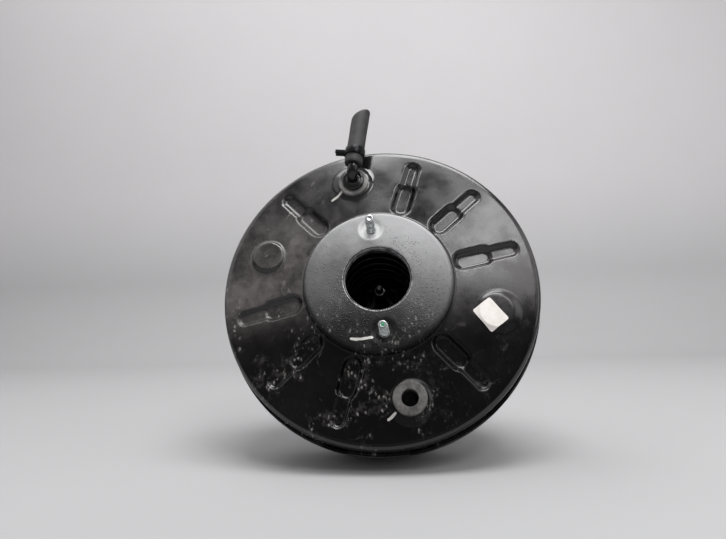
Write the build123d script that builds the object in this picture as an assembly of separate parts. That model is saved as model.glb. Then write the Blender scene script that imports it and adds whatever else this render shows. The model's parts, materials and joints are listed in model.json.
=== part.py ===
from build123d import *
import math
import os

# Vacuum brake booster, single diaphragm, 11-inch class.
# Millimetres. Every piece is drawn with Z forward along the booster's axis, X to the right and Y up,
# with Z = 0 on the bulkhead mounting face, and is turned at the end so that forward is -Y and up is +Z.

# ---- casing ----------------------------------------------------------------------------------
SHEET = 1.4                 # pressed steel of both shells
BODY_R = 142.0              # outside of the front shell's wall
FACE_Z = 108.0              # front boss, measured from the bulkhead face
FACE_FLAT_R = 30.0          # where the boss starts to fall away from its hole
BOSS_R = 63.5               # edge of the front boss
BOSS_FALL = 1.6             # how far the boss falls from its hole to its edge
BOSS_FOOT_R = 67.5          # foot of the boss
BOSS_HEIGHT = 10.0          # hole rim above the foot of the boss
CONE_FALL = 6.5             # how far the sloping face falls from the boss foot to the wall
CORNER_R = 12.0             # rounded front corner
BOSS_EDGE_R = 3.0           # rounding of the boss edge and foot
FLANGE_Z = 62.6             # back of the front shell's flange
FLANGE_WIDTH = 2.0          # flange beyond the wall
HOLE_R = 28.5               # master cylinder pilot hole
LIP_LENGTH = 7.0            # lip turned in around the pilot hole

WALL_STEP = 2.5             # how far the rear shell's wall stands inside the front one's
REAR_PAD_R = 60.0           # flat bulkhead pad
REAR_STEP_R = 67.0          # foot of the step around the pad
REAR_STEP_Z = 5.0
REAR_CONE_Z = 13.0          # rear cone, where it would meet the wall
REAR_CORNER_R = 16.0
BEAD_GAP = 4.6              # room between the shells for the diaphragm bead
RIM_PLAY = 0.2              # around the front shell's flange
CRIMP_PLAY = 0.1
CRIMP_TABS = 12
CRIMP_TAB_ANGLE = 9.0
CRIMP_TAB_REACH = 1.4       # how far a tab covers the flange
NECK_R = 31.0               # outside of the rear neck
NECK_LENGTH = 22.0
NECK_LIP = 2.4              # lip turned in at the neck's end

# ---- pressed features of the front face ------------------------------------------------------
CLOCK = 13.7                # first radial pocket, counter-clockwise from the right
PITCH = 30.0                # twelve places around the face
POCKET_PLACES = (0, 1, 2, 4, 6, 7, 8, 10)
POCKET_FOOT_GAP = 2.0       # from the foot of the boss to a pocket's inner end
POCKET_EDGE = 13.0          # from a pocket's outer end to the wall
POCKET_NOSE = 23.0          # length of its narrow outer part
POCKET_WIDTH = 18.0
POCKET_NARROW = 13.0
POCKET_DEEP = 5.5
POCKET_SHALLOW = 3.6
POCKET_DRAFT = 32.0
PORT_INSET = 37.0           # circle of the two ports and the blank seat, in from the wall
SEAT_R = 18.5               # foot of a raised seat
SEAT_TOP_R = 14.6
SEAT_HEIGHT = 2.4           # above the sloping face at its middle
VALVE_PORT_ANGLE = 102.3
SENSOR_PORT_ANGLE = -76.3
BLANK_SEAT_ANGLE = -16.0
DIMPLE_ANGLE = 163.7
DIMPLE_R = 15.8
DIMPLE_TOP_R = 13.4
DIMPLE_HEIGHT = 3.0
PORT_HOLE_R = 10.0

# ---- studs and their plates ------------------------------------------------------------------
STUD_R = 4.0
STUD_NECK_R = 4.6           # pressed through the plate and the sheet
STUD_HEAD_R = 7.0
STUD_HEAD = 3.0
STUD_CHAMFER = 0.9
MC_PCD = 97.0               # master cylinder studs
MC_STUD_ANGLE = 96.2
MC_STUD_OUT = 23.0          # from the pad to the tip
PAD_FLAT_R = 8.0            # dished pad around each master cylinder stud
PAD_TOP_R = 11.8
PAD_DEPTH = 2.9
BULKHEAD_X = 76.0
BULKHEAD_Y = 62.0
BULKHEAD_STUD_OUT = 24.0
PLATE = 2.5                 # both stiffening plates
FRONT_PLATE_R = 58.0
REAR_PLATE_R = 57.0
PLATE_HOLE_PLAY = 1.1       # around the pilot lip
SEAM = 0.05                 # between pieces that are pressed or clamped together

# ---- power piston ----------------------------------------------------------------------------
STROKE = 32.0
BOOT_FOLDED = 24.0          # room for the boot at full stroke
TUBE_R = 20.0               # valve body, sliding in the neck
TUBE_PLAY = 0.08            # running clearance of the neck guide
TUBE_BORE_R = 15.5
HUB_Z = 35.0                # front of the hub
HUB_FLANGE_R = 40.0
HUB_FLANGE_Z = 18.0
HUB_FLANGE = 6.0
HUB_STEP_R = 23.8
SHOULDER_Z = 8.5
SHOULDER = 2.4
SHOULDER_R = 23.4
BORE_PLAY = 0.06            # running clearance of the plunger
REACTION_R = 13.5
REACTION_Z = 21.0
REACTION = 7.5
FOOT = 4.0                  # pushrod foot
FIT_PLAY = 0.1
PASSAGES = 4                # vacuum passages through the hub
PASSAGE_R = 2.0
PASSAGE_CIRCLE_R = 16.8
PASSAGE_BACK = 4.0          # how far they open into the rear bore
ROD_R = 5.0                 # both rods
TIP_INSET = 23.0            # pushrod tip behind the boss
ADJUSTER_OUT = 15.0         # from the pushrod's end to the tip
TIP_R = 3.4
ADJUSTER_AF = 9.0
ADJUSTER_HEX = 5.0
ADJUSTER_SHANK_R = 3.0
ADJUSTER_SHANK = 12.0
SHANK_ROOM = 1.0            # behind the adjuster's shank
RETAINER = 1.0
RETAINER_R = 38.0
RETAINER_ROOM = 1.5         # around the pushrod
DISH = 1.2                  # sheet of the diaphragm plate
DISH_ROOM = 16.6            # from the plate's rim to the rear wall, for the rolling fold
DISH_RIM = 17.0
DISH_FLAT = 4.8             # flat of the plate beyond the hub
DISH_SLOPE = 7.7            # width of its step
DISH_DROP = 4.8             # depth of its step
DISH_LIFT = 4.0             # how much it comes back up before the rim
DISH_EDGE = 9.6             # width of the rise to the rim
DISH_ROUNDING = 2.0
RUBBER = 1.8                # diaphragm
SOFT_GAP = 0.35             # between soft pieces and moving ones
SPRING_R = 33.3
SPRING_WIRE = 3.4
SPRING_TURNS = 6
GUIDE_BACK = 7.4            # neck guide behind the bulkhead face
SEAL_LIP = 1.6              # height of the neck seal's lip
SEAL_LIP_WIDTH = 4.8        # width of its foot
SEAL_SHOULDER = 2.4         # rubber in front of the lip

# ---- valve, plunger and input rod -------------------------------------------------------------
PLUNGER_R = 6.5
PLUNGER_FRONT_Z = 19.0
PLUNGER_TRAVEL = 1.8
PLUNGER_NECK_R = 4.2
PLUNGER_FLANGE_R = 9.5
PLUNGER_FLANGE = 3.0
PLUNGER_BACK_Z = -6.0
KEY = 3.0                   # stop key
KEY_Z = 4.3
KEY_WIDTH = 16.0
KEY_HALF = 24.5
KEY_PLAY = 0.3
VALVE_SEAT_R = 11.3
VALVE_SEAT_WIDTH = 1.5
VALVE_SEAT_Z = -5.6
BALL_R = 4.4
BALL_Z = -2.5
BALL_NECK_R = 3.0
BALL_NECK_ROOM = 0.4        # around the ball's neck in the plunger
ROD_SHOULDER_ROOM = 1.0     # from the plunger at full travel to the rod's shoulder
ROD_SWING_ANGLE = 2.5       # each way
SWING_ROOM = 1.0            # around the swung rod
POPPET_R = 13.4
POPPET_Z = -6.2
POPPET = 2.8
POPPET_HOLE_R = 7.0
POPPET_BACK_Z = -22.0
POPPET_WALL = 1.2
POPPET_FLANGE = 2.0
INSERT_R = 8.0
INSERT = 1.1
CUP = 2.0                   # poppet retainer
CUP_HOLE_R = 7.6
POPPET_SPRING_R = 10.0
POPPET_SPRING_WIRE = 1.2
POPPET_SPRING_TURNS = 3
COLLAR_Z = -44.0
COLLAR = 2.4
COLLAR_R = 11.4
INPUT_SPRING_R = 9.2
INPUT_SPRING_WIRE = 1.8
INPUT_SPRING_TURNS = 4
FILTER_Z = -54.0
FILTER = 9.6
FELT = 8.6
CAP = 1.8
CAP_SPIGOT = 2.0
BOOT = 1.5
BOOT_FOLDS = 5
BOOT_FOLD_DEPTH = 6.4
BOOT_COLLAR = 12.0
BOOT_TAIL = 5.0
NUT_Z = -106.0
NUT = 6.0
NUT_AF = 17.0
THREAD_PLAY = 0.05
CLEVIS_LENGTH = 40.0
CLEVIS_WIDTH = 24.0
CLEVIS_HEIGHT = 20.0
CLEVIS_GAP = 12.0
CLEVIS_PIN_R = 5.0
CLEVIS_PIN_BACK = 12.0      # pin axis from the clevis's end
CLEVIS_SOLID = 12.0         # from its front to the gap
CLEVIS_END_FLAT = 2.0       # flat left between the rounded corners of its end
CLEVIS_CHAMFER = 3.0
ROD_END_ROOM = 1.0          # from the rod's end to the gap

# ---- check valve and hose --------------------------------------------------------------------
GROMMET_R = 14.2
GROMMET_TOP = 4.0
GROMMET_IN_R = 12.6
GROMMET_IN = 4.2
GROMMET_EDGE = 1.3
STEM_R = 8.0
STEM_PLAY = 0.08
STEM_IN = 5.4               # stem beyond the grommet, inside the casing
STEM_BARB = 1.1
STEM_BARB_LEAD = 2.2        # length of its taper
CHAMBER_R = 5.8
CHAMBER_FLOOR = 4.0
FLOW_R = 3.6
DISC_R = 5.2
DISC = 2.0
DISC_SPRING_R = 4.2
DISC_SPRING_WIRE = 0.7
DISC_SPRING_TURNS = 3
ELBOW_CAP_R = 10.6
ELBOW_CAP = 3.4
ELBOW_NECK_R = 5.4
ELBOW_BEND = 7.5            # bend of its middle line
ELBOW_RISE = 13.3           # spigot's axis above the grommet
ELBOW_LEAN_ANGLE = 7.5      # spigot leans to the right of straight up
SPIGOT_R = 4.7
SPIGOT_FLOW_R = 3.0
SPIGOT_BARB = 3.0           # length of a barb
SPIGOT_BARB_STEP = 0.5      # how far its small end lies under the spigot's surface
SPIGOT_REACH = 38.0
SPIGOT_MIDDLE_BARB = 20.5   # end of the middle barb
SPIGOT_ROOM = 2.0           # from the spigot's end to where the hose narrows
HOSE_START = 10.0
HOSE_LENGTH = 56.0
HOSE_R = 8.4
HOSE_BORE_R = 5.0           # stretched over the spigot
HOSE_FREE_BORE_R = 4.5      # beyond the spigot
HOSE_CUT_ANGLE = 32.0
CLAMP_PLACE = 12.0
CLAMP_WIDTH = 8.0
CLAMP = 1.1
CLAMP_EAR = 9.0
CLAMP_EAR_WIDTH = 4.0
CLAMP_EAR_GAP = 3.0
SENSOR_BORE_R = 7.0

# ---- worked out from the above ---------------------------------------------------------------
BOSS_FOOT_Z = FACE_Z - BOSS_HEIGHT
CONE_SLOPE = math.degrees(math.atan2(CONE_FALL, BODY_R - BOSS_FOOT_R))
FLANGE_R = BODY_R + FLANGE_WIDTH
STUD_HOLE_R = STUD_NECK_R + SEAM
REAR_WALL_R = BODY_R - WALL_STEP
PORT_R = BODY_R - PORT_INSET
RIM_IN_R = FLANGE_R + RIM_PLAY
RIM_R = RIM_IN_R + SHEET
SEAT_Z = FLANGE_Z - BEAD_GAP
CRIMP_Z = FLANGE_Z + SHEET + CRIMP_PLAY
PAD_Z = FACE_Z - BOSS_FALL / 2 - PAD_DEPTH
FRONT_PLATE_Z = PAD_Z - SHEET - SEAM
PORT_TOP_Z = BOSS_FOOT_Z - (PORT_R - BOSS_FOOT_R) * math.tan(math.radians(CONE_SLOPE)) + SEAT_HEIGHT
GROMMET_TOP_Z = PORT_TOP_Z + SEAM + GROMMET_TOP
GROMMET_BOTTOM_Z = PORT_TOP_Z - SHEET - SEAM - GROMMET_IN
ELBOW_Z = GROMMET_TOP_Z + ELBOW_RISE
TIP_Z = FACE_Z - TIP_INSET
ROD_END_Z = TIP_Z - ADJUSTER_OUT
KEY_FACE_Z = KEY_Z + KEY
TAIL_Z = -(NECK_LENGTH + STROKE + BOOT_FOLDED)
FILTER_BORE_R = ROD_R + SWING_ROOM + (BALL_Z - TAIL_Z) * math.tan(math.radians(ROD_SWING_ANGLE))
DISH_R = REAR_WALL_R - SHEET - DISH_ROOM
RETAINER_Z = HUB_FLANGE_Z + HUB_FLANGE + SEAM
FOOT_Z = REACTION_Z + REACTION
CLEVIS_Z = NUT_Z - NUT - SEAM
PIN_Z = CLEVIS_Z - CLEVIS_LENGTH + CLEVIS_PIN_BACK
FORWARD = Rot(90, 0, 0)     # turns Z forward to -Y and Y up to +Z


# ---- small helpers -----------------------------------------------------------------------------
def turned(*points):
    """A solid of revolution from the corners of its half section, given as radius and Z."""
    outline = Polyline(*[(r, 0, z) for r, z in points], close=True)
    return revolve(make_face(outline), Axis.Z)


def ring(inner, outer, low, high):
    return turned((inner, low), (outer, low), (outer, high), (inner, high))


def disc(radius, low, high):
    return Pos(0, 0, low) * Cylinder(radius, high - low, align=(Align.CENTER, Align.CENTER, Align.MIN))


def around(angle, radius, height=0.0):
    """A place on a circle about the axis, with its own X pointing outward."""
    return Rot(0, 0, angle) * Pos(radius, 0, height)


def moved_in(points, gap):
    """An open outline moved to its right-hand side by gap, with sharp corners."""
    sides = []
    for (r1, z1), (r2, z2) in zip(points, points[1:]):
        run = math.hypot(r2 - r1, z2 - z1)
        step_r, step_z = gap * (z2 - z1) / run, gap * (r1 - r2) / run
        sides.append((r1 + step_r, z1 + step_z, (r2 - r1) / run, (z2 - z1) / run))
    first, last = points[0], points[-1]
    corners = [(first[0] + gap * sides[0][3], first[1] - gap * sides[0][2])]
    for (ar, az, adr, adz), (br, bz, bdr, bdz) in zip(sides, sides[1:]):
        along = ((br - ar) * bdz - (bz - az) * bdr) / (adr * bdz - adz * bdr)
        corners.append((ar + along * adr, az + along * adz))
    corners.append((last[0] + gap * sides[-1][3], last[1] - gap * sides[-1][2]))
    return corners


def softened(face, corners):
    """Round the named corners of a half section, each given as radius, Z and rounding."""
    for r, z, rounding in corners:
        corner = face.vertices().sort_by_distance((r, 0, z))[0]
        face = fillet(corner, rounding)
    return face


def sheet_ring(path, thickness, roundings=()):
    """A thin turned wall to the right of an open path; corners that turn right may be rounded."""
    inside = moved_in(path, thickness)
    outline = Polyline(*[(r, 0, z) for r, z in path + inside[::-1]], close=True)
    corners = []
    for place, rounding in roundings:
        corners.append((*path[place], rounding))
        corners.append((*inside[place], rounding - thickness))
    return revolve(softened(make_face(outline), corners), Axis.Z)


def coil(radius, wire, low, high, turns):
    """A compression spring with its end turns inside the two given planes."""
    pitch = (high - low - wire) / turns
    path = Helix(pitch=pitch, height=pitch * turns, radius=radius, center=(0, 0, low + wire / 2))
    section = Plane(origin=path @ 0, z_dir=path % 0) * RegularPolygon(wire / 2, 6)
    return sweep(section, path=path, is_frenet=True)


def hexagon(across_flats, low, high):
    return Pos(0, 0, low) * extrude(RegularPolygon(across_flats / 2, 6, major_radius=False), high - low)


# ---- casing ------------------------------------------------------------------------------------
def front_region(gap):
    """The space under the front shell's surface, gap inside it."""
    edge = [
        (0, FACE_Z),
        (FACE_FLAT_R, FACE_Z),
        (BOSS_R, FACE_Z - BOSS_FALL),
        (BOSS_FOOT_R, BOSS_FOOT_Z),
        (BODY_R, BOSS_FOOT_Z - CONE_FALL),
        (BODY_R, FLANGE_Z),
    ]
    edge = moved_in(edge, gap) if gap else edge
    edge[0] = (0, edge[0][1])
    outline = Polyline(*[(r, 0, z) for r, z in [(0, FLANGE_Z)] + edge], close=True)
    corners = [
        (*edge[2], BOSS_EDGE_R - gap),
        (*edge[3], BOSS_EDGE_R + gap),
        (*edge[4], CORNER_R - gap),
    ]
    return revolve(softened(make_face(outline), corners), Axis.Z)


def on_cone(angle, radius, lift=0.0):
    """A frame on the sloping face: X outward along the slope, Z square to it."""
    height = BOSS_FOOT_Z - (radius - BOSS_FOOT_R) * math.tan(math.radians(CONE_SLOPE))
    return around(angle, radius, height) * Rot(0, CONE_SLOPE, 0) * Pos(0, 0, lift)


def drafted_slot(inner_r, outer_r, width, depth, gap):
    """One part of a radial pocket on the sloping face, grown by gap for the inside of the sheet."""
    above = 2.0
    slack = above * math.tan(math.radians(POCKET_DRAFT))
    side = gap / math.cos(math.radians(POCKET_DRAFT)) - gap * math.tan(math.radians(POCKET_DRAFT))
    length = outer_r - inner_r + 2 * (slack + side)
    middle = (inner_r + outer_r) / 2
    slot = SlotOverall(length, width + 2 * (slack + side))
    tool = extrude(slot, amount=-(above + depth + gap), taper=POCKET_DRAFT)
    return Pos(middle - PORT_R, 0, above) * tool


def pocket(place, gap):
    """A two-step pocket: wide and deep inside, narrow and shallow outside."""
    outer_end = BODY_R - POCKET_EDGE
    deep_end = outer_end - POCKET_NOSE
    deep = drafted_slot(BOSS_FOOT_R + POCKET_FOOT_GAP, deep_end, POCKET_WIDTH, POCKET_DEEP, gap)
    shallow = drafted_slot(deep_end - POCKET_NARROW, outer_end, POCKET_NARROW, POCKET_SHALLOW, gap)
    return on_cone(CLOCK + PITCH * place, PORT_R) * (deep + shallow)


def raised(angle, foot_r, top_r, height, gap):
    """A round pad pressed outward, with its top square to the booster's axis."""
    slope = (foot_r - top_r) / height
    below = SHEET * 3
    top = PORT_TOP_Z - SEAT_HEIGHT + height
    base = Cone(foot_r + below * slope - gap, top_r - gap, height + below,
                align=(Align.CENTER, Align.CENTER, Align.MAX))
    return around(angle, PORT_R, top - gap) * base


def pads(gap):
    places = (VALVE_PORT_ANGLE, SENSOR_PORT_ANGLE, BLANK_SEAT_ANGLE)
    seats = [raised(angle, SEAT_R, SEAT_TOP_R, SEAT_HEIGHT, gap) for angle in places]
    return seats + [raised(DIMPLE_ANGLE, DIMPLE_R, DIMPLE_TOP_R, DIMPLE_HEIGHT, gap)]


def stud_places():
    return [around(MC_STUD_ANGLE + turn, MC_PCD / 2) for turn in (0, 180)]


def stud_dishes(gap):
    """Dished pads that bring the master cylinder studs' seats below the boss."""
    above = BOSS_FALL / 2 + SHEET
    slope = (PAD_TOP_R - PAD_FLAT_R) / PAD_DEPTH
    top_r = PAD_TOP_R + above * slope + gap
    tool = Cone(PAD_FLAT_R + gap, top_r, PAD_DEPTH + above, align=(Align.CENTER, Align.CENTER, Align.MIN))
    return [place * Pos(0, 0, PAD_Z - gap) * tool for place in stud_places()]


def front_shell():
    outside = front_region(0) + pads(0)
    outside -= [pocket(place, 0) for place in POCKET_PLACES] + stud_dishes(0)
    inside = front_region(SHEET) + pads(SHEET)
    inside -= [pocket(place, SHEET) for place in POCKET_PLACES] + stud_dishes(SHEET)
    shell = outside - inside + ring(BODY_R - SHEET, FLANGE_R, FLANGE_Z, FLANGE_Z + SHEET)
    shell += ring(HOLE_R, HOLE_R + SHEET, FACE_Z - LIP_LENGTH, FACE_Z - SHEET)
    shell -= disc(HOLE_R, FACE_Z - LIP_LENGTH - SHEET, FACE_Z + SHEET)
    for angle in (VALVE_PORT_ANGLE, SENSOR_PORT_ANGLE):
        shell -= around(angle, PORT_R) * disc(PORT_HOLE_R, GROMMET_BOTTOM_Z, GROMMET_TOP_Z)
    shell -= [place * disc(STUD_HOLE_R, FRONT_PLATE_Z, FACE_Z) for place in stud_places()]
    rim = shell.edges().filter_by(GeomType.CIRCLE).sort_by_distance((HOLE_R, 0, FACE_Z))[0]
    return fillet(rim, SHEET * 0.9)


def rear_region(gap):
    edge = [
        (REAR_WALL_R, SEAT_Z),
        (REAR_WALL_R, REAR_CONE_Z),
        (REAR_STEP_R, REAR_STEP_Z),
        (REAR_PAD_R, 0),
        (0, 0),
    ]
    edge = moved_in(edge, gap) if gap else edge
    edge[-1] = (0, edge[-1][1])
    outline = Polyline(*[(r, 0, z) for r, z in [(0, SEAT_Z)] + edge], close=True)
    corners = [
        (*edge[1], REAR_CORNER_R - gap),
        (*edge[2], BOSS_EDGE_R + gap),
        (*edge[3], BOSS_EDGE_R - gap),
    ]
    return revolve(softened(make_face(outline), corners), Axis.Z)


def crimp_tab(place):
    """One stretch of the rim folded over the front shell's flange."""
    band = ring(RIM_IN_R - CRIMP_TAB_REACH, RIM_R, CRIMP_Z, CRIMP_Z + SHEET)
    wedge_r = RIM_R + SHEET
    half = wedge_r * math.tan(math.radians(CRIMP_TAB_ANGLE / 2))
    wedge = make_face(Polyline((0, 0), (wedge_r, -half), (wedge_r, half), close=True))
    return Rot(0, 0, CLOCK + place * 360 / CRIMP_TABS) * (band & Pos(0, 0, CRIMP_Z) * extrude(wedge, SHEET))


def rear_shell():
    shell = rear_region(0) - rear_region(SHEET)
    shell += ring(REAR_WALL_R - SHEET, RIM_R, SEAT_Z - SHEET, SEAT_Z)
    shell += ring(RIM_IN_R, RIM_R, SEAT_Z - SHEET, CRIMP_Z + SHEET)
    shell += [crimp_tab(place) for place in range(CRIMP_TABS)]
    shell -= disc(NECK_R - SHEET, -SHEET, SHEET * 2)
    shell += ring(NECK_R - SHEET, NECK_R, -NECK_LENGTH, 0)
    shell += ring(NECK_R - SHEET - NECK_LIP, NECK_R, -NECK_LENGTH, SHEET - NECK_LENGTH)
    shell -= [place * disc(STUD_HOLE_R, -SHEET, SHEET * 2) for place in bulkhead_places()]
    return shell


def bulkhead_places():
    columns, rows = (-BULKHEAD_X / 2, BULKHEAD_X / 2), (-BULKHEAD_Y / 2, BULKHEAD_Y / 2)
    return [Pos(x, y, 0) for x in columns for y in rows]


def front_stiffener():
    """Plate behind the boss that spreads the master cylinder's load."""
    plate = ring(HOLE_R + SHEET + PLATE_HOLE_PLAY, FRONT_PLATE_R, FRONT_PLATE_Z - PLATE, FRONT_PLATE_Z)
    return plate - [place * disc(STUD_HOLE_R, FRONT_PLATE_Z - PLATE, FACE_Z) for place in stud_places()]


def rear_stiffener():
    low = SHEET + SEAM
    plate = ring(NECK_R + PLATE_HOLE_PLAY, REAR_PLATE_R, low, low + PLATE)
    return plate - [place * disc(STUD_HOLE_R, 0, low + PLATE) for place in bulkhead_places()]


def stud(head_z, face_z, length):
    """A headed M8 stud, pressed in as far as the shell's outer face, with a chamfered tip beyond it."""
    way = 1 if face_z > head_z else -1
    neck_z = head_z + way * STUD_HEAD
    tip_z = face_z + way * length
    return turned((0, head_z), (STUD_HEAD_R, head_z), (STUD_HEAD_R, neck_z), (STUD_NECK_R, neck_z),
                  (STUD_NECK_R, face_z), (STUD_R, face_z), (STUD_R, tip_z - way * STUD_CHAMFER),
                  (STUD_R - STUD_CHAMFER, tip_z), (0, tip_z))


def master_cylinder_studs():
    head_z = FRONT_PLATE_Z - PLATE - SEAM - STUD_HEAD
    return [place * stud(head_z, PAD_Z, MC_STUD_OUT) for place in stud_places()]


def bulkhead_studs():
    head_z = SHEET + PLATE + 2 * SEAM + STUD_HEAD
    return [place * stud(head_z, 0, BULKHEAD_STUD_OUT) for place in bulkhead_places()]


# ---- power piston --------------------------------------------------------------------------------
def passages(low, high):
    """Vacuum passages, clear of the stop key's slot."""
    angles = [360 / PASSAGES * (turn + 0.5) for turn in range(PASSAGES)]
    return [around(angle, PASSAGE_CIRCLE_R) * disc(PASSAGE_R, low, high) for angle in angles]


def valve_body():
    """Moulded hub and tube that carries the valve and slides in the neck."""
    bore = PLUNGER_R + BORE_PLAY
    pocket_r = REACTION_R + FIT_PLAY
    body = turned(
        (TUBE_BORE_R, TAIL_Z), (TUBE_R, TAIL_Z), (TUBE_R, SHOULDER_Z), (SHOULDER_R, SHOULDER_Z),
        (SHOULDER_R, SHOULDER_Z + SHOULDER), (TUBE_R, SHOULDER_Z + SHOULDER),
        (TUBE_R, HUB_FLANGE_Z - DISH), (HUB_STEP_R, HUB_FLANGE_Z - DISH), (HUB_STEP_R, HUB_FLANGE_Z),
        (HUB_FLANGE_R, HUB_FLANGE_Z), (HUB_FLANGE_R, HUB_FLANGE_Z + HUB_FLANGE),
        (TUBE_R, HUB_FLANGE_Z + HUB_FLANGE), (TUBE_R, HUB_Z), (pocket_r, HUB_Z),
        (pocket_r, REACTION_Z), (bore, REACTION_Z), (bore, 0), (VALVE_SEAT_R - VALVE_SEAT_WIDTH / 2, 0),
        (VALVE_SEAT_R - VALVE_SEAT_WIDTH / 2, VALVE_SEAT_Z),
        (VALVE_SEAT_R + VALVE_SEAT_WIDTH / 2, VALVE_SEAT_Z),
        (VALVE_SEAT_R + VALVE_SEAT_WIDTH / 2, 0), (TUBE_BORE_R, 0))
    slot = Box(KEY_WIDTH + 2 * KEY_PLAY, 2 * SHOULDER_R, KEY + 2 * KEY_PLAY)
    return body - Pos(0, 0, KEY_Z + KEY / 2) * slot - passages(-PASSAGE_BACK, HUB_Z)


def diaphragm_path():
    """Rear face of the diaphragm plate, from the hub out to its rim."""
    back = HUB_FLANGE_Z - DISH
    return [
        (HUB_STEP_R + FIT_PLAY, back),
        (HUB_FLANGE_R + DISH_FLAT, back),
        (HUB_FLANGE_R + DISH_FLAT + DISH_SLOPE, back - DISH_DROP),
        (DISH_R - DISH_EDGE, back - DISH_DROP + DISH_LIFT),
        (DISH_R, back + DISH_DROP),
        (DISH_R, back + DISH_DROP + DISH_RIM),
    ]


def diaphragm_plate():
    path = diaphragm_path()[::-1]
    return sheet_ring(path, DISH, ((1, DISH_ROUNDING), (2, DISH_ROUNDING)))


def diaphragm():
    """Rolling rubber diaphragm: hub bead, web behind the plate, one fold and the clamped bead."""
    web = moved_in(diaphragm_path(), SOFT_GAP + RUBBER)
    wall_r = REAR_WALL_R - SHEET - SOFT_GAP
    back = HUB_FLANGE_Z - DISH
    bead_low, bead_high = SEAT_Z + SEAM, FLANGE_Z - SEAM
    fold_z = REAR_CONE_Z + SHEET + SOFT_GAP
    path = [(wall_r, bead_low), (wall_r, fold_z)] + web[3:0:-1] + [(TUBE_R + SOFT_GAP, web[0][1])]
    rubber = sheet_ring(path, RUBBER, ((1, REAR_CORNER_R - SHEET - SOFT_GAP),))
    rubber += ring(TUBE_R + SOFT_GAP, HUB_STEP_R + 2 * RUBBER, SHOULDER_Z + SHOULDER + SEAM, back - SOFT_GAP)
    return rubber + ring(wall_r - RUBBER, RIM_IN_R - SOFT_GAP, bead_low, bead_high)


def reaction_disc():
    return disc(REACTION_R, REACTION_Z + SEAM, FOOT_Z)


def output_pushrod():
    foot_low, foot_high = FOOT_Z + SEAM, FOOT_Z + FOOT
    socket = ADJUSTER_SHANK_R + THREAD_PLAY
    floor = ROD_END_Z - ADJUSTER_SHANK - SHANK_ROOM
    return turned(
        (0, foot_low), (REACTION_R, foot_low), (REACTION_R, foot_high), (ROD_R, foot_high),
        (ROD_R, ROD_END_Z), (socket, ROD_END_Z), (socket, floor), (0, floor))


def pushrod_adjuster():
    """Hexagon screw with a round nose that sets the pushrod's length."""
    hex_high = ROD_END_Z + SEAM + ADJUSTER_HEX
    screw = disc(ADJUSTER_SHANK_R, ROD_END_Z - ADJUSTER_SHANK, hex_high)
    screw += hexagon(ADJUSTER_AF, ROD_END_Z + SEAM, hex_high)
    screw += disc(TIP_R, hex_high, TIP_Z - TIP_R)
    return screw + Pos(0, 0, TIP_Z - TIP_R) * Sphere(TIP_R)


def pushrod_retainer():
    """Pressed cup over the hub, held by the return spring."""
    top = HUB_Z + SEAM
    wall = TUBE_R + FIT_PLAY
    cup = turned(
        (ROD_R + RETAINER_ROOM, top), (wall, top), (wall, RETAINER_Z), (RETAINER_R, RETAINER_Z),
        (RETAINER_R, RETAINER_Z + RETAINER), (wall + RETAINER, RETAINER_Z + RETAINER),
        (wall + RETAINER, top + RETAINER), (ROD_R + RETAINER_ROOM, top + RETAINER))
    return cup - passages(HUB_Z, top + RETAINER)


def return_spring():
    low = RETAINER_Z + RETAINER + SEAM
    high = FRONT_PLATE_Z - PLATE - SEAM
    return coil(SPRING_R, SPRING_WIRE, low, high, SPRING_TURNS)


def neck_guide():
    """Plain bearing for the valve body's tube."""
    low, high = -GUIDE_BACK, SHEET + PLATE
    outer = NECK_R - SHEET - SEAM
    return turned(
        (TUBE_R + TUBE_PLAY, low), (outer, low), (outer, SHEET + SEAM),
        (NECK_R + PLATE_HOLE_PLAY - SEAM, SHEET + SEAM), (NECK_R + PLATE_HOLE_PLAY - SEAM, high),
        (TUBE_R + TUBE_PLAY, high))


def neck_seal():
    """Lip seal between the neck guide and the neck's turned-in end."""
    low, high = SHEET - NECK_LENGTH + SEAM, -GUIDE_BACK - SEAM
    outer = NECK_R - SHEET - SEAM
    lip = TUBE_R + SOFT_GAP
    back = lip + SEAL_LIP
    lip_z = high - SEAL_SHOULDER
    return turned(
        (back, low), (outer, low), (outer, high), (back, high), (back, lip_z),
        (lip, lip_z - SEAL_LIP_WIDTH / 3), (lip, lip_z - SEAL_LIP_WIDTH * 2 / 3),
        (back, lip_z - SEAL_LIP_WIDTH))


def stop_key():
    """Forked plate through the valve body that stops the plunger and the piston."""
    fork = PLUNGER_NECK_R + KEY_PLAY
    blank = Box(KEY_WIDTH, 2 * KEY_HALF, KEY)
    slot = Pos(0, KEY_HALF / 2, 0) * Box(2 * fork, KEY_HALF, KEY)
    return Pos(0, 0, KEY_Z + KEY / 2) * (blank - slot - Cylinder(fork, KEY))


# ---- valve, plunger and input rod ------------------------------------------------------------------
def plunger():
    """Air valve with a socket for the input rod's ball."""
    neck_low = KEY_Z - PLUNGER_TRAVEL - KEY_PLAY
    neck_high = KEY_FACE_Z + KEY_PLAY
    flange_z = PLUNGER_BACK_Z + PLUNGER_FLANGE
    body = turned(
        (0, PLUNGER_FRONT_Z), (PLUNGER_R, PLUNGER_FRONT_Z), (PLUNGER_R, neck_high),
        (PLUNGER_NECK_R, neck_high), (PLUNGER_NECK_R, neck_low), (PLUNGER_R, neck_low),
        (PLUNGER_R, flange_z), (PLUNGER_FLANGE_R, flange_z), (PLUNGER_FLANGE_R, PLUNGER_BACK_Z),
        (0, PLUNGER_BACK_Z))
    body -= Pos(0, 0, BALL_Z) * Sphere(BALL_R + BORE_PLAY)
    return body - disc(BALL_NECK_R + BALL_NECK_ROOM, PLUNGER_BACK_Z, BALL_Z)


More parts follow.
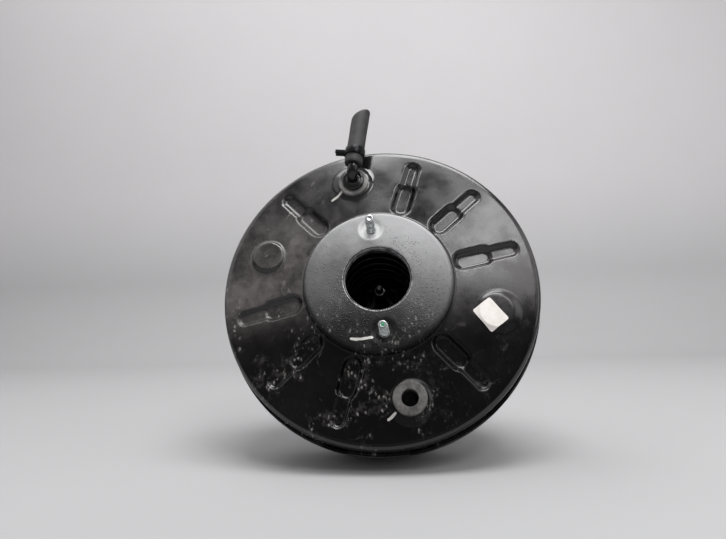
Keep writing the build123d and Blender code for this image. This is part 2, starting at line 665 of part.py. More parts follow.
def input_rod():
    shaft_z = PLUNGER_BACK_Z - PLUNGER_TRAVEL - ROD_SHOULDER_ROOM
    shaft = disc(ROD_R, CLEVIS_Z - CLEVIS_SOLID + ROD_END_ROOM, shaft_z)
    neck = disc(BALL_NECK_R, shaft_z, BALL_Z)
    return shaft + neck + Pos(0, 0, BALL_Z) * Sphere(BALL_R)


def spring_collar():
    return ring(ROD_R + THREAD_PLAY, COLLAR_R, COLLAR_Z - COLLAR, COLLAR_Z)


def poppet_valve():
    """Rubber poppet: face ring, soft wall and clamped flange."""
    face_back = POPPET_Z - POPPET
    outer = TUBE_BORE_R - FIT_PLAY
    inner = POPPET_R - POPPET_WALL
    return turned(
        (POPPET_HOLE_R, POPPET_Z), (POPPET_R, POPPET_Z), (POPPET_R, POPPET_BACK_Z + POPPET_FLANGE),
        (outer, POPPET_BACK_Z + POPPET_FLANGE), (outer, POPPET_BACK_Z), (inner, POPPET_BACK_Z),
        (inner, face_back), (POPPET_HOLE_R, face_back))


def poppet_insert():
    high = POPPET_Z - POPPET - SEAM
    return ring(INSERT_R, POPPET_R - POPPET_WALL - FIT_PLAY, high - INSERT, high)


def poppet_spring():
    high = POPPET_Z - POPPET - SEAM - INSERT - SEAM
    return coil(POPPET_SPRING_R, POPPET_SPRING_WIRE, POPPET_BACK_Z + SEAM, high, POPPET_SPRING_TURNS)


def poppet_retainer():
    high = POPPET_BACK_Z - SEAM
    return ring(CUP_HOLE_R, TUBE_BORE_R - FIT_PLAY, high - CUP, high)


def input_spring():
    high = POPPET_BACK_Z - 2 * SEAM - CUP
    return coil(INPUT_SPRING_R, INPUT_SPRING_WIRE, COLLAR_Z + SEAM, high, INPUT_SPRING_TURNS)


def air_filter():
    return ring(FILTER_BORE_R, TUBE_BORE_R - FIT_PLAY, FILTER_Z - FILTER, FILTER_Z)


def silencer_felt():
    high = FILTER_Z - FILTER - SEAM
    return ring(FILTER_BORE_R, TUBE_BORE_R - FIT_PLAY, high - FELT, high)


def filter_cap():
    """Ring snapped into the tail to hold the filter and the felt."""
    low = TAIL_Z - SEAM - CAP
    spigot_high = FILTER_Z - FILTER - FELT - 2 * SEAM
    spigot_r = TUBE_BORE_R - FIT_PLAY
    return turned(
        (FILTER_BORE_R, low), (TUBE_R, low), (TUBE_R, low + CAP), (spigot_r, low + CAP),
        (spigot_r, spigot_high), (spigot_r - CAP_SPIGOT, spigot_high),
        (spigot_r - CAP_SPIGOT, low + CAP), (FILTER_BORE_R, low + CAP))


def dust_boot():
    """Pleated rubber boot from the neck to the valve body's tail."""
    big_r, small_r = NECK_R + SOFT_GAP + BOOT, TUBE_R + SOFT_GAP + BOOT
    start_z, end_z = -NECK_LENGTH, TAIL_Z + BOOT_TAIL
    path = [(big_r, start_z + BOOT_COLLAR), (big_r, start_z)]
    for step in range(1, 2 * BOOT_FOLDS):
        share = step / (2 * BOOT_FOLDS)
        middle = big_r + (small_r - big_r) * share
        side = BOOT_FOLD_DEPTH / 2 if step % 2 else -BOOT_FOLD_DEPTH / 2 * (1 - share)
        path.append((middle + side, start_z + (end_z - start_z) * share))
    path += [(small_r, end_z), (small_r, TAIL_Z + SEAM)]
    return sheet_ring(path, BOOT)


def lock_nut():
    return hexagon(NUT_AF, NUT_Z - NUT, NUT_Z) - disc(ROD_R + THREAD_PLAY, NUT_Z - NUT, NUT_Z)


def clevis():
    """Fork that takes the brake pedal, with its pin across it."""
    end_z = CLEVIS_Z - CLEVIS_LENGTH
    block = Pos(0, 0, (CLEVIS_Z + end_z) / 2) * Box(CLEVIS_WIDTH, CLEVIS_HEIGHT, CLEVIS_LENGTH)
    block = fillet(block.edges().filter_by(Axis.X).group_by(Axis.Z)[0], (CLEVIS_HEIGHT - CLEVIS_END_FLAT) / 2)
    block = chamfer(block.faces().sort_by(Axis.Z)[-1].edges(), CLEVIS_CHAMFER)
    gap_length = CLEVIS_LENGTH - CLEVIS_SOLID
    block -= Pos(0, 0, end_z + gap_length / 2) * Box(CLEVIS_GAP, CLEVIS_HEIGHT, gap_length)
    block -= Pos(0, 0, PIN_Z) * Rot(0, 90, 0) * Cylinder(CLEVIS_PIN_R, CLEVIS_WIDTH)
    return block - disc(ROD_R + THREAD_PLAY, end_z, CLEVIS_Z)


# ---- check valve and hose -----------------------------------------------------------------------------
def grommet(angle, bore):
    """Rubber grommet snapped into a port of the front shell."""
    low, high = GROMMET_BOTTOM_Z, GROMMET_TOP_Z
    groove_low, groove_high = PORT_TOP_Z - SHEET - SEAM, PORT_TOP_Z + SEAM
    groove_r = PORT_HOLE_R - FIT_PLAY
    rubber = turned(
        (bore, low), (GROMMET_IN_R - GROMMET_EDGE, low), (GROMMET_IN_R, groove_low),
        (groove_r, groove_low), (groove_r, groove_high), (GROMMET_R, groove_high),
        (GROMMET_R, high - GROMMET_EDGE), (GROMMET_R - GROMMET_EDGE, high), (bore, high))
    return around(angle, PORT_R) * rubber


def at_valve():
    return around(VALVE_PORT_ANGLE, PORT_R)


def check_valve_seat():
    """Lower half of the check valve, through the grommet."""
    low, high = GROMMET_BOTTOM_Z - STEM_IN, GROMMET_TOP_Z + SEAM
    floor = low + CHAMBER_FLOOR
    return at_valve() * turned(
        (FLOW_R, low), (STEM_R, low), (STEM_R + STEM_BARB, low + STEM_BARB_LEAD),
        (STEM_R + STEM_BARB, GROMMET_BOTTOM_Z - SOFT_GAP), (STEM_R, GROMMET_BOTTOM_Z - SOFT_GAP),
        (STEM_R, high), (CHAMBER_R, high), (CHAMBER_R, floor), (FLOW_R, floor))


def disc_low():
    return GROMMET_BOTTOM_Z - STEM_IN + CHAMBER_FLOOR + SEAM


def check_valve_disc():
    return at_valve() * disc(DISC_R, disc_low(), disc_low() + DISC)


def check_valve_spring():
    low = disc_low() + DISC + SEAM
    return at_valve() * coil(DISC_SPRING_R, DISC_SPRING_WIRE, low, GROMMET_TOP_Z + SEAM, DISC_SPRING_TURNS)


def along_spigot(reach):
    """A place on the spigot's axis, with Z pointing out along it."""
    x = PORT_R * math.cos(math.radians(VALVE_PORT_ANGLE))
    y = PORT_R * math.sin(math.radians(VALVE_PORT_ANGLE))
    return Pos(x, y, ELBOW_Z) * Rot(0, 0, -ELBOW_LEAN_ANGLE) * Rot(-90, 0, 0) * Pos(0, 0, reach)


def elbow_bend(radius, low):
    """Rod that follows the elbow's middle line, from its foot round the bend to the hose."""
    foot, into = (0, ELBOW_Z - low, 0), (0, ELBOW_BEND, 0)
    out, end = (0, 0, ELBOW_BEND), (0, 0, HOSE_START - SEAM)
    route = Line(foot, into) + TangentArc(into, out, tangent=(0, -1, 0)) + Line(out, end)
    return along_spigot(0) * sweep(Plane(origin=foot, z_dir=(0, -1, 0)) * Circle(radius), path=route)


def check_valve_elbow():
    """Cap and bent spigot of the check valve."""
    low = GROMMET_TOP_Z + 2 * SEAM
    body = at_valve() * disc(ELBOW_CAP_R, low, low + ELBOW_CAP) + elbow_bend(ELBOW_NECK_R, low)
    body += along_spigot(0) * disc(SPIGOT_R, ELBOW_BEND, SPIGOT_REACH)
    for barb_end in (SPIGOT_REACH, SPIGOT_MIDDLE_BARB):
        cone = Cone(HOSE_BORE_R - SEAM, SPIGOT_R - SPIGOT_BARB_STEP, SPIGOT_BARB,
                    align=(Align.CENTER, Align.CENTER, Align.MAX))
        body += along_spigot(barb_end) * cone
    return body - (elbow_bend(FLOW_R, low) + along_spigot(0) * disc(SPIGOT_FLOW_R, ELBOW_BEND, SPIGOT_REACH))


def hose_stub():
    """Short length of moulded vacuum hose, cut on the slant."""
    length = HOSE_LENGTH + 2 * HOSE_R
    wide_length = SPIGOT_REACH - HOSE_START + SPIGOT_ROOM
    block = Box(8 * HOSE_R, 8 * HOSE_R, 4 * HOSE_R, align=(Align.CENTER, Align.CENTER, Align.MIN))
    knife = Pos(0, 0, HOSE_LENGTH) * Rot(0, -HOSE_CUT_ANGLE, 0) * block
    hose = ring(HOSE_FREE_BORE_R, HOSE_R, 0, length) - disc(HOSE_BORE_R, 0, wide_length)
    return along_spigot(HOSE_START) * (hose - knife)


def hose_clamp():
    """Spring band with two ears on its left side."""
    inner = HOSE_R + SEAM
    band = ring(inner, inner + CLAMP, -CLAMP_WIDTH / 2, CLAMP_WIDTH / 2)
    ear = Box(CLAMP_EAR + CLAMP, CLAMP, CLAMP_EAR_WIDTH)
    for side in (-1, 1):
        band += Pos(-inner - (CLAMP_EAR + CLAMP) / 2, side * (CLAMP_EAR_GAP + CLAMP) / 2, 0) * ear
    return along_spigot(HOSE_START + CLAMP_PLACE) * band


# ---- files ---------------------------------------------------------------------------------------------
def write(name, solid):
    """Turn one sub-part into the booster's own frame and write it; a list becomes one group."""
    pieces = solid if isinstance(solid, list) else [solid]
    turned_pieces = [FORWARD * piece for piece in pieces]
    shape = Compound(children=turned_pieces) if len(turned_pieces) > 1 else turned_pieces[0]
    export_step(shape, os.path.join("parts", name + ".step"))


def main():
    os.makedirs("parts", exist_ok=True)
    makers = (
        front_shell, rear_shell, front_stiffener, rear_stiffener, master_cylinder_studs, bulkhead_studs,
        diaphragm, diaphragm_plate, valve_body, neck_guide, neck_seal, reaction_disc, output_pushrod,
        pushrod_adjuster, pushrod_retainer, return_spring, stop_key, plunger, input_rod, spring_collar,
        poppet_valve, poppet_insert, poppet_spring, poppet_retainer, input_spring, air_filter,
        silencer_felt, filter_cap, dust_boot, lock_nut, clevis, check_valve_seat, check_valve_disc,
        check_valve_spring, check_valve_elbow, hose_stub, hose_clamp)
    for maker in makers:
        write(maker.__name__, maker())
    write("check_valve_grommet", grommet(VALVE_PORT_ANGLE, STEM_R + STEM_PLAY))
    write("sensor_grommet", grommet(SENSOR_PORT_ANGLE, SENSOR_BORE_R))


main()
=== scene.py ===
import json
import math

import bmesh
import bpy
import numpy as np
from bpy.props import BoolVectorProperty, FloatProperty, FloatVectorProperty, IntProperty, PointerProperty
from mathutils import Matrix, Vector


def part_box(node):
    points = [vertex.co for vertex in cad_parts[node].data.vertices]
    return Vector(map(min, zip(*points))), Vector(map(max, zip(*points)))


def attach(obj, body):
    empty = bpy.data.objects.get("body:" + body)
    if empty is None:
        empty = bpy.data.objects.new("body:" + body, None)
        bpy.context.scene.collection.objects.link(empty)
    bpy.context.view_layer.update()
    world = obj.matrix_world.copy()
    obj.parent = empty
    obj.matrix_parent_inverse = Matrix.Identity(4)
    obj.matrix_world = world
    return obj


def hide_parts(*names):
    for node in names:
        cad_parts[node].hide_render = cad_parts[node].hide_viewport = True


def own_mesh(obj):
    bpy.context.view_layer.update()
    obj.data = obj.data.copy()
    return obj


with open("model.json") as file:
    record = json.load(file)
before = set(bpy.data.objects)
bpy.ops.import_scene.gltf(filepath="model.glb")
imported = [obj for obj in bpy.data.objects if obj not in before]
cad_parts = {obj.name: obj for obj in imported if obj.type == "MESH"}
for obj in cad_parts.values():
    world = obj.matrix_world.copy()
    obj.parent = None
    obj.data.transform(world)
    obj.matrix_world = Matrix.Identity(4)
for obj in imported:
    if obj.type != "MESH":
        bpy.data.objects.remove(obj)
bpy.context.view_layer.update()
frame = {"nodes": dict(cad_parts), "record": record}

bl_info = {
    "name": "Brake Booster Dressing",
    "version": (1, 0, 0),
    "blender": (4, 5, 0),
    "location": "View3D > Sidebar > Booster",
    "description": "Skins, threads, springs, rubber and finishes for the brake booster",
    "category": "Object",
}

# Forward is -Y, towards the master cylinder. Places on the booster are given by their distance from
# its axis, an angle that runs from +X towards +Z, and how far forward of the bulkhead face they lie.
MM = 0.001


def linear(code, alpha=1.0):
    """An sRGB hex colour as linear red, green, blue and alpha."""
    shares = [int(code[place:place + 2], 16) / 255 for place in (1, 3, 5)]
    light = [share / 12.92 if share <= 0.04045 else ((share + 0.055) / 1.055) ** 2.4 for share in shares]
    return (*light, alpha)


def mount(name):
    """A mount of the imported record."""
    return next(entry for entry in frame["record"]["mounts"] if entry["name"] == name)


def reach(node):
    """How far forward a node starts and ends."""
    low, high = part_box(node)
    return -high.y, -low.y


def middle_of(node):
    """Middle of a node across the axis, as X and Z."""
    low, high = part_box(node)
    return (low.x + high.x) / 2, (low.z + high.z) / 2


# ---- settings ------------------------------------------------------------------------------------
def length(name, description, value):
    return FloatProperty(name=name, description=description, default=value * MM, unit="LENGTH")


def angle(name, description, degrees):
    return FloatProperty(name=name, description=description, default=math.radians(degrees), subtype="ANGLE")


def turn_count(name, description, count):
    return FloatProperty(name=name, description=description, default=count, min=1)


def power(name, description, watts):
    return FloatProperty(name=name, description=description, default=watts, subtype="POWER")


def colour(name, description, code):
    return FloatVectorProperty(
        name=name, description=description, default=linear(code), size=4, subtype="COLOR")


class FrontShellSettings(bpy.types.PropertyGroup):
    sheet: length("Sheet", "Thickness of the pressed steel", 1.4)
    wall: length("Wall radius", "Outside of the wall", 142)
    face: length("Face", "Front of the boss, from the bulkhead face", 108)
    flat: length("Flat radius", "Where the boss starts to fall away", 30)
    boss: length("Boss radius", "Edge of the boss", 63.5)
    boss_fall: length("Boss fall", "How far the boss falls to its edge", 1.6)
    foot: length("Foot radius", "Foot of the boss", 67.5)
    boss_height: length("Boss height", "Hole rim above the foot of the boss", 10)
    cone_fall: length("Cone fall", "How far the sloping face falls to the wall", 6.5)
    corner: length("Corner rounding", "Rounded front corner", 7)
    edge: length("Edge rounding", "Rounding of the boss edge and foot", 3)
    flange_back: length("Flange back", "Back of the flange, from the bulkhead face", 62.6)
    flange: length("Flange width", "Flange beyond the wall", 2)
    hole: length("Pilot hole", "Radius of the master cylinder hole", 28.5)
    lip: length("Pilot lip", "Lip turned in around the hole", 7)


class PressedFeatureSettings(bpy.types.PropertyGroup):
    first: angle("First pocket", "Angle of the first place", 13.7)
    places: BoolVectorProperty(
        name="Pocket places", description="Which of the twelve places hold a pocket", size=12,
        default=(True, True, True, False, True, False, True, True, True, False, True, False))
    foot_gap: length("Foot gap", "From the foot of the boss to a pocket", 2)
    edge_gap: length("Edge gap", "From a pocket's outer end to the wall", 13)
    nose: length("Nose", "Length of a pocket's narrow outer part", 23)
    width: length("Width", "Width of the deep part", 18)
    nose_width: length("Nose width", "Width of the shallow part", 13)
    deep: length("Deep", "Depth of the deep part", 5.5)
    shallow: length("Shallow", "Depth of the shallow part", 3.6)
    draft: angle("Draft", "Slope of a pocket's wall", 32)
    rounding: length("Rounding", "How far an edge is rounded to each side", 1.2)
    port_inset: length("Port inset", "Ports and seats, in from the wall", 37)
    seat_foot: length("Seat foot", "Foot radius of a raised seat", 18.5)
    seat_top: length("Seat top", "Top radius of a raised seat", 14.6)
    seat_height: length("Seat height", "Height of a seat above the slope", 2.4)
    dimple_foot: length("Dimple foot", "Foot radius of the raised dimple", 15.8)
    dimple_top: length("Dimple top", "Top radius of the raised dimple", 13.4)
    dimple_height: length("Dimple height", "Height of the raised dimple", 3)
    valve_angle: angle("Valve port", "Angle of the check valve's port", 102.3)
    sensor_angle: angle("Sensor port", "Angle of the sensor's port", -76.3)
    blank_angle: angle("Blank seat", "Angle of the unused seat", -16)
    dimple_angle: angle("Dimple", "Angle of the raised dimple", 163.7)
    port_hole: length("Port hole", "Radius of a port's hole", 10)
    stud_angle: angle("Stud angle", "Angle of the first master cylinder stud", 96.2)
    dish_flat: length("Dish flat", "Flat radius of a stud's dished pad", 8)
    dish_top: length("Dish top", "Outer radius of a stud's dished pad", 11.8)
    dish_depth: length("Dish depth", "Depth of a stud's dished pad", 2.9)


class RearShellSettings(bpy.types.PropertyGroup):
    wall: length("Wall radius", "Outside of the rear wall", 139.5)
    pad: length("Pad radius", "Flat pad that meets the bulkhead", 60)
    step: length("Step radius", "Foot of the step around the pad", 67)
    step_height: length("Step height", "Height of that step", 5)
    cone: length("Cone", "Where the rear cone would meet the wall", 13)
    corner: length("Corner rounding", "Rounded rear corner", 16)
    seat: length("Seat", "Seat of the diaphragm's bead", 58)
    rim_inside: length("Rim inside", "Inside radius of the crimped rim", 144.2)
    rim_front: length("Rim front", "Front of the rim", 65.5)
    neck: length("Neck radius", "Outside of the neck", 31)
    neck_length: length("Neck length", "Neck behind the bulkhead face", 22)
    neck_lip: length("Neck lip", "Lip turned in at the neck's end", 2.4)
    tabs: IntProperty(name="Crimp tabs", description="Number of crimped tabs", default=12, min=1)
    tab_angle: angle("Tab angle", "How far around a tab goes", 9)
    tab_reach: length("Tab reach", "How far a tab covers the flange", 1.4)


class StudSettings(bpy.types.PropertyGroup):
    radius: length("Radius", "Outside of the thread", 4)
    pitch: length("Pitch", "Thread pitch", 1.25)
    depth: length("Thread depth", "Depth of the thread", 0.72)
    neck: length("Neck", "Radius of the pressed-in neck", 4.6)
    head: length("Head", "Radius of the head", 7)
    head_height: length("Head height", "Height of the head", 3)
    chamfer: length("Chamfer", "Chamfer of the tip", 0.9)
    front_face: length("Front face", "Dished pads, from the bulkhead face", 104.3)


class SpringSettings(bpy.types.PropertyGroup):
    return_wire: length("Return wire", "Wire of the return spring", 3.4)
    return_turns: turn_count("Return turns", "Turns of the return spring", 6.5)
    input_wire: length("Input wire", "Wire of the input rod's spring", 1.8)
    input_turns: turn_count("Input turns", "Turns of the input rod's spring", 4.5)
    poppet_wire: length("Poppet wire", "Wire of the poppet's spring", 1.2)
    poppet_turns: turn_count("Poppet turns", "Turns of the poppet's spring", 3.5)
    disc_wire: length("Disc wire", "Wire of the check valve's spring", 0.7)
    disc_turns: turn_count("Disc turns", "Turns of the check valve's spring", 3.5)


class BootSettings(bpy.types.PropertyGroup):
    rubber: length("Rubber", "Wall of the boot", 1.5)
    gap: length("Gap", "Between the boot and what carries it", 0.35)
    collar: length("Collar", "Length of the collar on the neck", 12)
    tail: length("Tail", "Length of the tail on the valve body", 5)
    folds: IntProperty(name="Folds", description="Number of pleats", default=5, min=1)
    fold_depth: length("Fold depth", "Depth of a pleat", 6.4)
    tube: length("Tube radius", "Valve body's tube", 20)


class ValveSettings(bpy.types.PropertyGroup):
    grommet: length("Grommet", "Outside radius of a grommet", 14.2)
    grommet_inside: length("Grommet inside", "Its radius inside the casing", 12.6)
    grommet_top: length("Grommet top", "Its height above the seat", 4)
    edge: length("Grommet edge", "Its edge rounding", 1.1)
    sensor_bore: length("Sensor bore", "Open bore of the sensor's grommet", 7)
    stem_bore: length("Stem bore", "Bore of the valve's grommet", 8.08)
    cap: length("Cap", "Radius of the valve's cap", 10.4)
    neck: length("Elbow", "Radius of the elbow", 5.0)
    flow: length("Flow bore", "Bore of the elbow", 3.0)
    spigot: length("Spigot", "Radius of the spigot", 4.7)
    spigot_reach: length("Spigot reach", "End of the spigot from the valve's axis", 38)
    bend: length("Bend", "Radius of the elbow's bend", 7.5)
    hose: length("Hose", "Outside radius of the hose", 8.4)
    hose_start: length("Hose start", "Start of the hose from the valve's axis", 10)
    hose_length: length("Hose length", "Length of the hose along its middle", 56)
    hose_stretched: length("Stretched bore", "Bore over the spigot", 5)
    hose_bore: length("Free bore", "Bore beyond the spigot", 4.5)
    hose_wide: length("Wide length", "Length of the stretched bore", 30)
    cut: angle("Cut", "Slant of the hose's cut end", 32)


class RodSettings(bpy.types.PropertyGroup):
    radius: length("Radius", "Input rod's radius", 5)
    ball: length("Ball", "Radius of the ball end", 4.4)
    ball_neck: length("Ball neck", "Radius behind the ball", 3)
    shoulder: length("Shoulder", "Where the full rod starts, behind the bulkhead face", 8.8)
    pitch: length("Pitch", "Pitch of the clevis thread", 1.25)
    thread: length("Thread", "Length of the clevis thread", 31)
    nut_flats: length("Nut", "Lock nut across flats", 17)


class MarkSettings(bpy.types.PropertyGroup):
    label_x: length("Label X", "Middle of the bare label", 95.2)
    label_z: length("Label Z", "Middle of the bare label", -32.4)
    label_turn: angle("Label turn", "Direction of its long side", -53.5)
    label_length: length("Label length", "Long side", 24.5)
    label_width: length("Label width", "Short side", 19)
    label_corner: length("Label corner", "Corner rounding", 1.6)
    film: length("Film", "Thickness of the label", 0.16)
    stroke_width: length("Stroke width", "Width of a paint pen's stroke", 2.3)


class StageSettings(bpy.types.PropertyGroup):
    lean: angle("Lean", "How far the booster leans back on the floor", 20)
    floor: length("Floor", "Distance of the floor below the booster's axis", 122.7)
    floor_tone: colour("Floor tone", "Colour of the paper on the floor", "#B2B2B3")
    wall_tone: colour("Wall tone", "Colour of the paper on the wall", "#D0CECF")
    key: power("Key light", "Power of the soft light overhead", 15)
    side: power("Side light", "Power of the soft light at the right", 5)
    fill: power("Fill lights", "Power of the wide panel at each side", 5)
    back: power("Back light", "Power of the rear soft light", 7)
    world: FloatProperty(name="World", description="Brightness of the surroundings", default=0.4, min=0)
    lens: FloatProperty(
        name="Lens", description="Focal length on a 36 mm sensor", default=27.3, unit="CAMERA")


# ---- nodes ---------------------------------------------------------------------------------------
def add_node(tree, kind, settings=None, inputs=()):
    """Add a node, set its own settings and fill its visible inputs, which are named or come in order.
    Another node among them stands for its first visible output."""
    node = tree.nodes.new(kind)
    for name, value in (settings or {}).items():
        setattr(node, name, value)
    visible = [socket for socket in node.inputs if socket.enabled]
    for key, value in inputs.items() if isinstance(inputs, dict) else enumerate(inputs):
        socket = visible[key] if isinstance(key, int) else node.inputs[key]
        if isinstance(value, bpy.types.Node):
            value = next(output for output in value.outputs if output.enabled)
        if isinstance(value, bpy.types.NodeSocket):
            tree.links.new(value, socket)
        else:
            socket.default_value = value
    return node


# Settings that many nodes share. A colour Mix takes its share, the colour below and the colour on top.
SOFT = {"interpolation_type": "SMOOTHSTEP"}
COLOURS = {"data_type": "RGBA"}
PLUS, MINUS, TIMES = {"operation": "ADD"}, {"operation": "SUBTRACT"}, {"operation": "MULTIPLY"}
TIMES_PLUS, DOT = {"operation": "MULTIPLY_ADD"}, {"operation": "DOT_PRODUCT"}


def per_size(millimetres):
    """Texture scale at which one period of a pattern is this long."""
    return 1 / (millimetres * MM)


def start_tree(name, sizes):
    """A Geometry Nodes tree with its named inputs; returns it with the input node and its output socket."""
    tree = bpy.data.node_groups.new(name, "GeometryNodeTree")
    tree.interface.new_socket("Geometry", in_out="INPUT", socket_type="NodeSocketGeometry")
    for size, kind in sizes.items():
        tree.interface.new_socket(size, in_out="INPUT", socket_type=kind)
    tree.interface.new_socket("Geometry", in_out="OUTPUT", socket_type="NodeSocketGeometry")
    given = add_node(tree, "NodeGroupInput")
    made = add_node(tree, "NodeGroupOutput")
    return tree, given, made.inputs[0]


def carried(name, data):
    """An object in the scene that holds a mesh, a light or a camera."""
    carrier = bpy.data.objects.new(name, data)
    bpy.context.scene.collection.objects.link(carrier)
    return carrier


def applied(carrier):
    """The plain mesh of an object with its modifiers applied; the object goes."""
    mesh = bpy.data.meshes.new_from_object(carrier.evaluated_get(bpy.context.evaluated_depsgraph_get()))
    bpy.data.objects.remove(carrier)
    return mesh


def grown(tree, start, values):
    """The plain mesh that a tree makes from a starting mesh and the given values."""
    carrier = carried(tree.name, start)
    modifier = carrier.modifiers.new(tree.name, "NODES")
    modifier.node_group = tree
    for socket in tree.interface.items_tree:
        if socket.name in values:
            modifier[socket.identifier] = values[socket.name]
    mesh = applied(carrier)
    mesh.materials.clear()
    return mesh


# ---- shapes --------------------------------------------------------------------------------------
# Vertices nearer than this are one, faces that turn less are one flat face, edges that turn more are
# rounded by a bevel, and edges that turn more still are shaded sharp.
SAME_PLACE = 0.001 * MM
FLAT, EDGE, CREASE = math.radians(0.4), math.radians(40), math.radians(50)


def on_axis(radius, turn, forward):
    """Points around the booster's axis; any of the three may be an array."""
    radius, turn, forward = np.broadcast_arrays(radius, turn, forward)
    return np.stack([radius * np.cos(turn), -forward, radius * np.sin(turn)], axis=-1)


def around(count):
    """Evenly spaced angles of a full turn."""
    return np.arange(count) * 2 * math.pi / count


def rounded(corners, spacing, closed=False):
    """An outline of (radius, forward) points through corners given as radius, forward and rounding."""
    points = []
    count = len(corners)
    for place, (radius, forward, rounding) in enumerate(corners):
        here = Vector((radius, forward))
        if rounding == 0 or (not closed and place in (0, count - 1)):
            points.append(here)
            continue
        before = (Vector(corners[place - 1][:2]) - here).normalized()
        after = (Vector(corners[(place + 1) % count][:2]) - here).normalized()
        half = before.angle(after) / 2
        centre = here + (before + after).normalized() * (rounding / math.sin(half))
        start = here + before * (rounding / math.tan(half)) - centre
        turn = start.angle_signed(here + after * (rounding / math.tan(half)) - centre)
        steps = max(3, math.ceil(abs(turn) * rounding / spacing))
        points += [centre + Matrix.Rotation(-turn * step / steps, 2) @ start for step in range(steps + 1)]
    return points


def filled_in(points, spacing):
    """The same outline with its long straight stretches divided."""
    dense = [points[0]]
    for a, b in zip(points, points[1:]):
        steps = max(1, math.ceil((b - a).length / spacing))
        dense += [a.lerp(b, step / steps) for step in range(1, steps + 1)]
    return dense


def walled(points, thickness):
    """A closed outline: an open one and its copy, moved to its right by the thickness."""
    inside = []
    for place, here in enumerate(points):
        before, after = points[max(place - 1, 0)], points[min(place + 1, len(points) - 1)]
        way = (after - before).normalized()
        inside.append(here + Vector((way.y, -way.x)) * thickness)
    return points + inside[::-1]


def skin(rings, closed=False, capped=False):
    """A mesh from rings of points, each joined to the next by quads."""
    rings = np.asarray(rings, float)
    rows, count = rings.shape[:2]
    place = np.arange(rows * count).reshape(rows, count)
    low, high = (place, np.roll(place, -1, axis=0)) if closed else (place[:-1], place[1:])
    quads = np.stack([low, np.roll(low, -1, axis=1), np.roll(high, -1, axis=1), high], axis=-1)
    faces = quads.reshape(-1, 4).tolist()
    points = rings.reshape(-1, 3).tolist()
    if capped:
        for row, flip in ((place[0], True), (place[-1], False)):
            points.append(np.mean([points[corner] for corner in row], axis=0).tolist())
            for a, b in zip(row.tolist(), np.roll(row, -1).tolist()):
                faces.append((b, a, len(points) - 1) if flip else (a, b, len(points) - 1))
    mesh = bpy.data.meshes.new("skin")
    mesh.from_pydata(points, [], faces)
    return mesh


def outward(mesh):
    """Merge a closed mesh's doubles and point its faces outwards."""
    shape = bmesh.new()
    shape.from_mesh(mesh)
    bmesh.ops.remove_doubles(shape, verts=shape.verts, dist=SAME_PLACE)
    bmesh.ops.recalc_face_normals(shape, faces=shape.faces)
    shape.to_mesh(mesh)
    shape.free()
    return mesh


def lathe(outline, segments, middle=(0.0, 0.0)):
    """A closed outline of radius and forward, turned about a line parallel to the booster's axis."""
    rings = np.array([on_axis(radius, around(segments), forward) for radius, forward in outline])
    return outward(skin(rings + np.array([middle[0], 0.0, middle[1]]), closed=True))


def joined(meshes):
    """Several meshes as one."""
    shape = bmesh.new()
    for mesh in meshes:
        shape.from_mesh(mesh)
    whole = bpy.data.meshes.new("joined")
    shape.to_mesh(whole)
    shape.free()
    return whole


def softened(node, width):
    """A node's own shape, merged and with its edges slightly rounded."""
    source = frame["nodes"][node].data
    mesh = bpy.data.meshes.new(node)
    faces = [face.vertices[:] for face in source.polygons]
    mesh.from_pydata([vert.co for vert in source.vertices], [], faces)
    shape = bmesh.new()
    shape.from_mesh(mesh)
    bmesh.ops.remove_doubles(shape, verts=shape.verts, dist=SAME_PLACE)
    bmesh.ops.dissolve_limit(shape, angle_limit=FLAT, verts=shape.verts, edges=shape.edges)
    shape.to_mesh(mesh)
    shape.free()
    carrier = carried(node, mesh)
    bevel = carrier.modifiers.new("edges", "BEVEL")
    bevel.width = width
    bevel.segments = 2
    bevel.limit_method = "ANGLE"
    bevel.angle_limit = EDGE
    return applied(carrier)


def add_piece(name, mesh, body, slot, finish=None, replaced=()):
    """Make a mesh a smooth piece that rides on a body and stands for the given nodes."""
    piece = carried(name, mesh)
    mesh.materials.append(finishes[finish or slot])
    mesh.shade_smooth()
    mesh.set_sharp_from_angle(angle=CREASE)
    if replaced:
        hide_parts(*replaced)
    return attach(piece, body)


# ---- finishes ------------------------------------------------------------------------------------
def start_finish(name):
    """An empty node material; returns it with its tree and object coordinates."""
    material = bpy.data.materials.new(name)
    material.use_nodes = True
    tree = material.node_tree
    tree.nodes.clear()
    return material, tree, add_node(tree, "ShaderNodeTexCoord").outputs["Object"]


def end_finish(tree, shader):
    """Give a shader to the material's output."""
    add_node(tree, "ShaderNodeOutputMaterial", {}, {"Surface": shader})


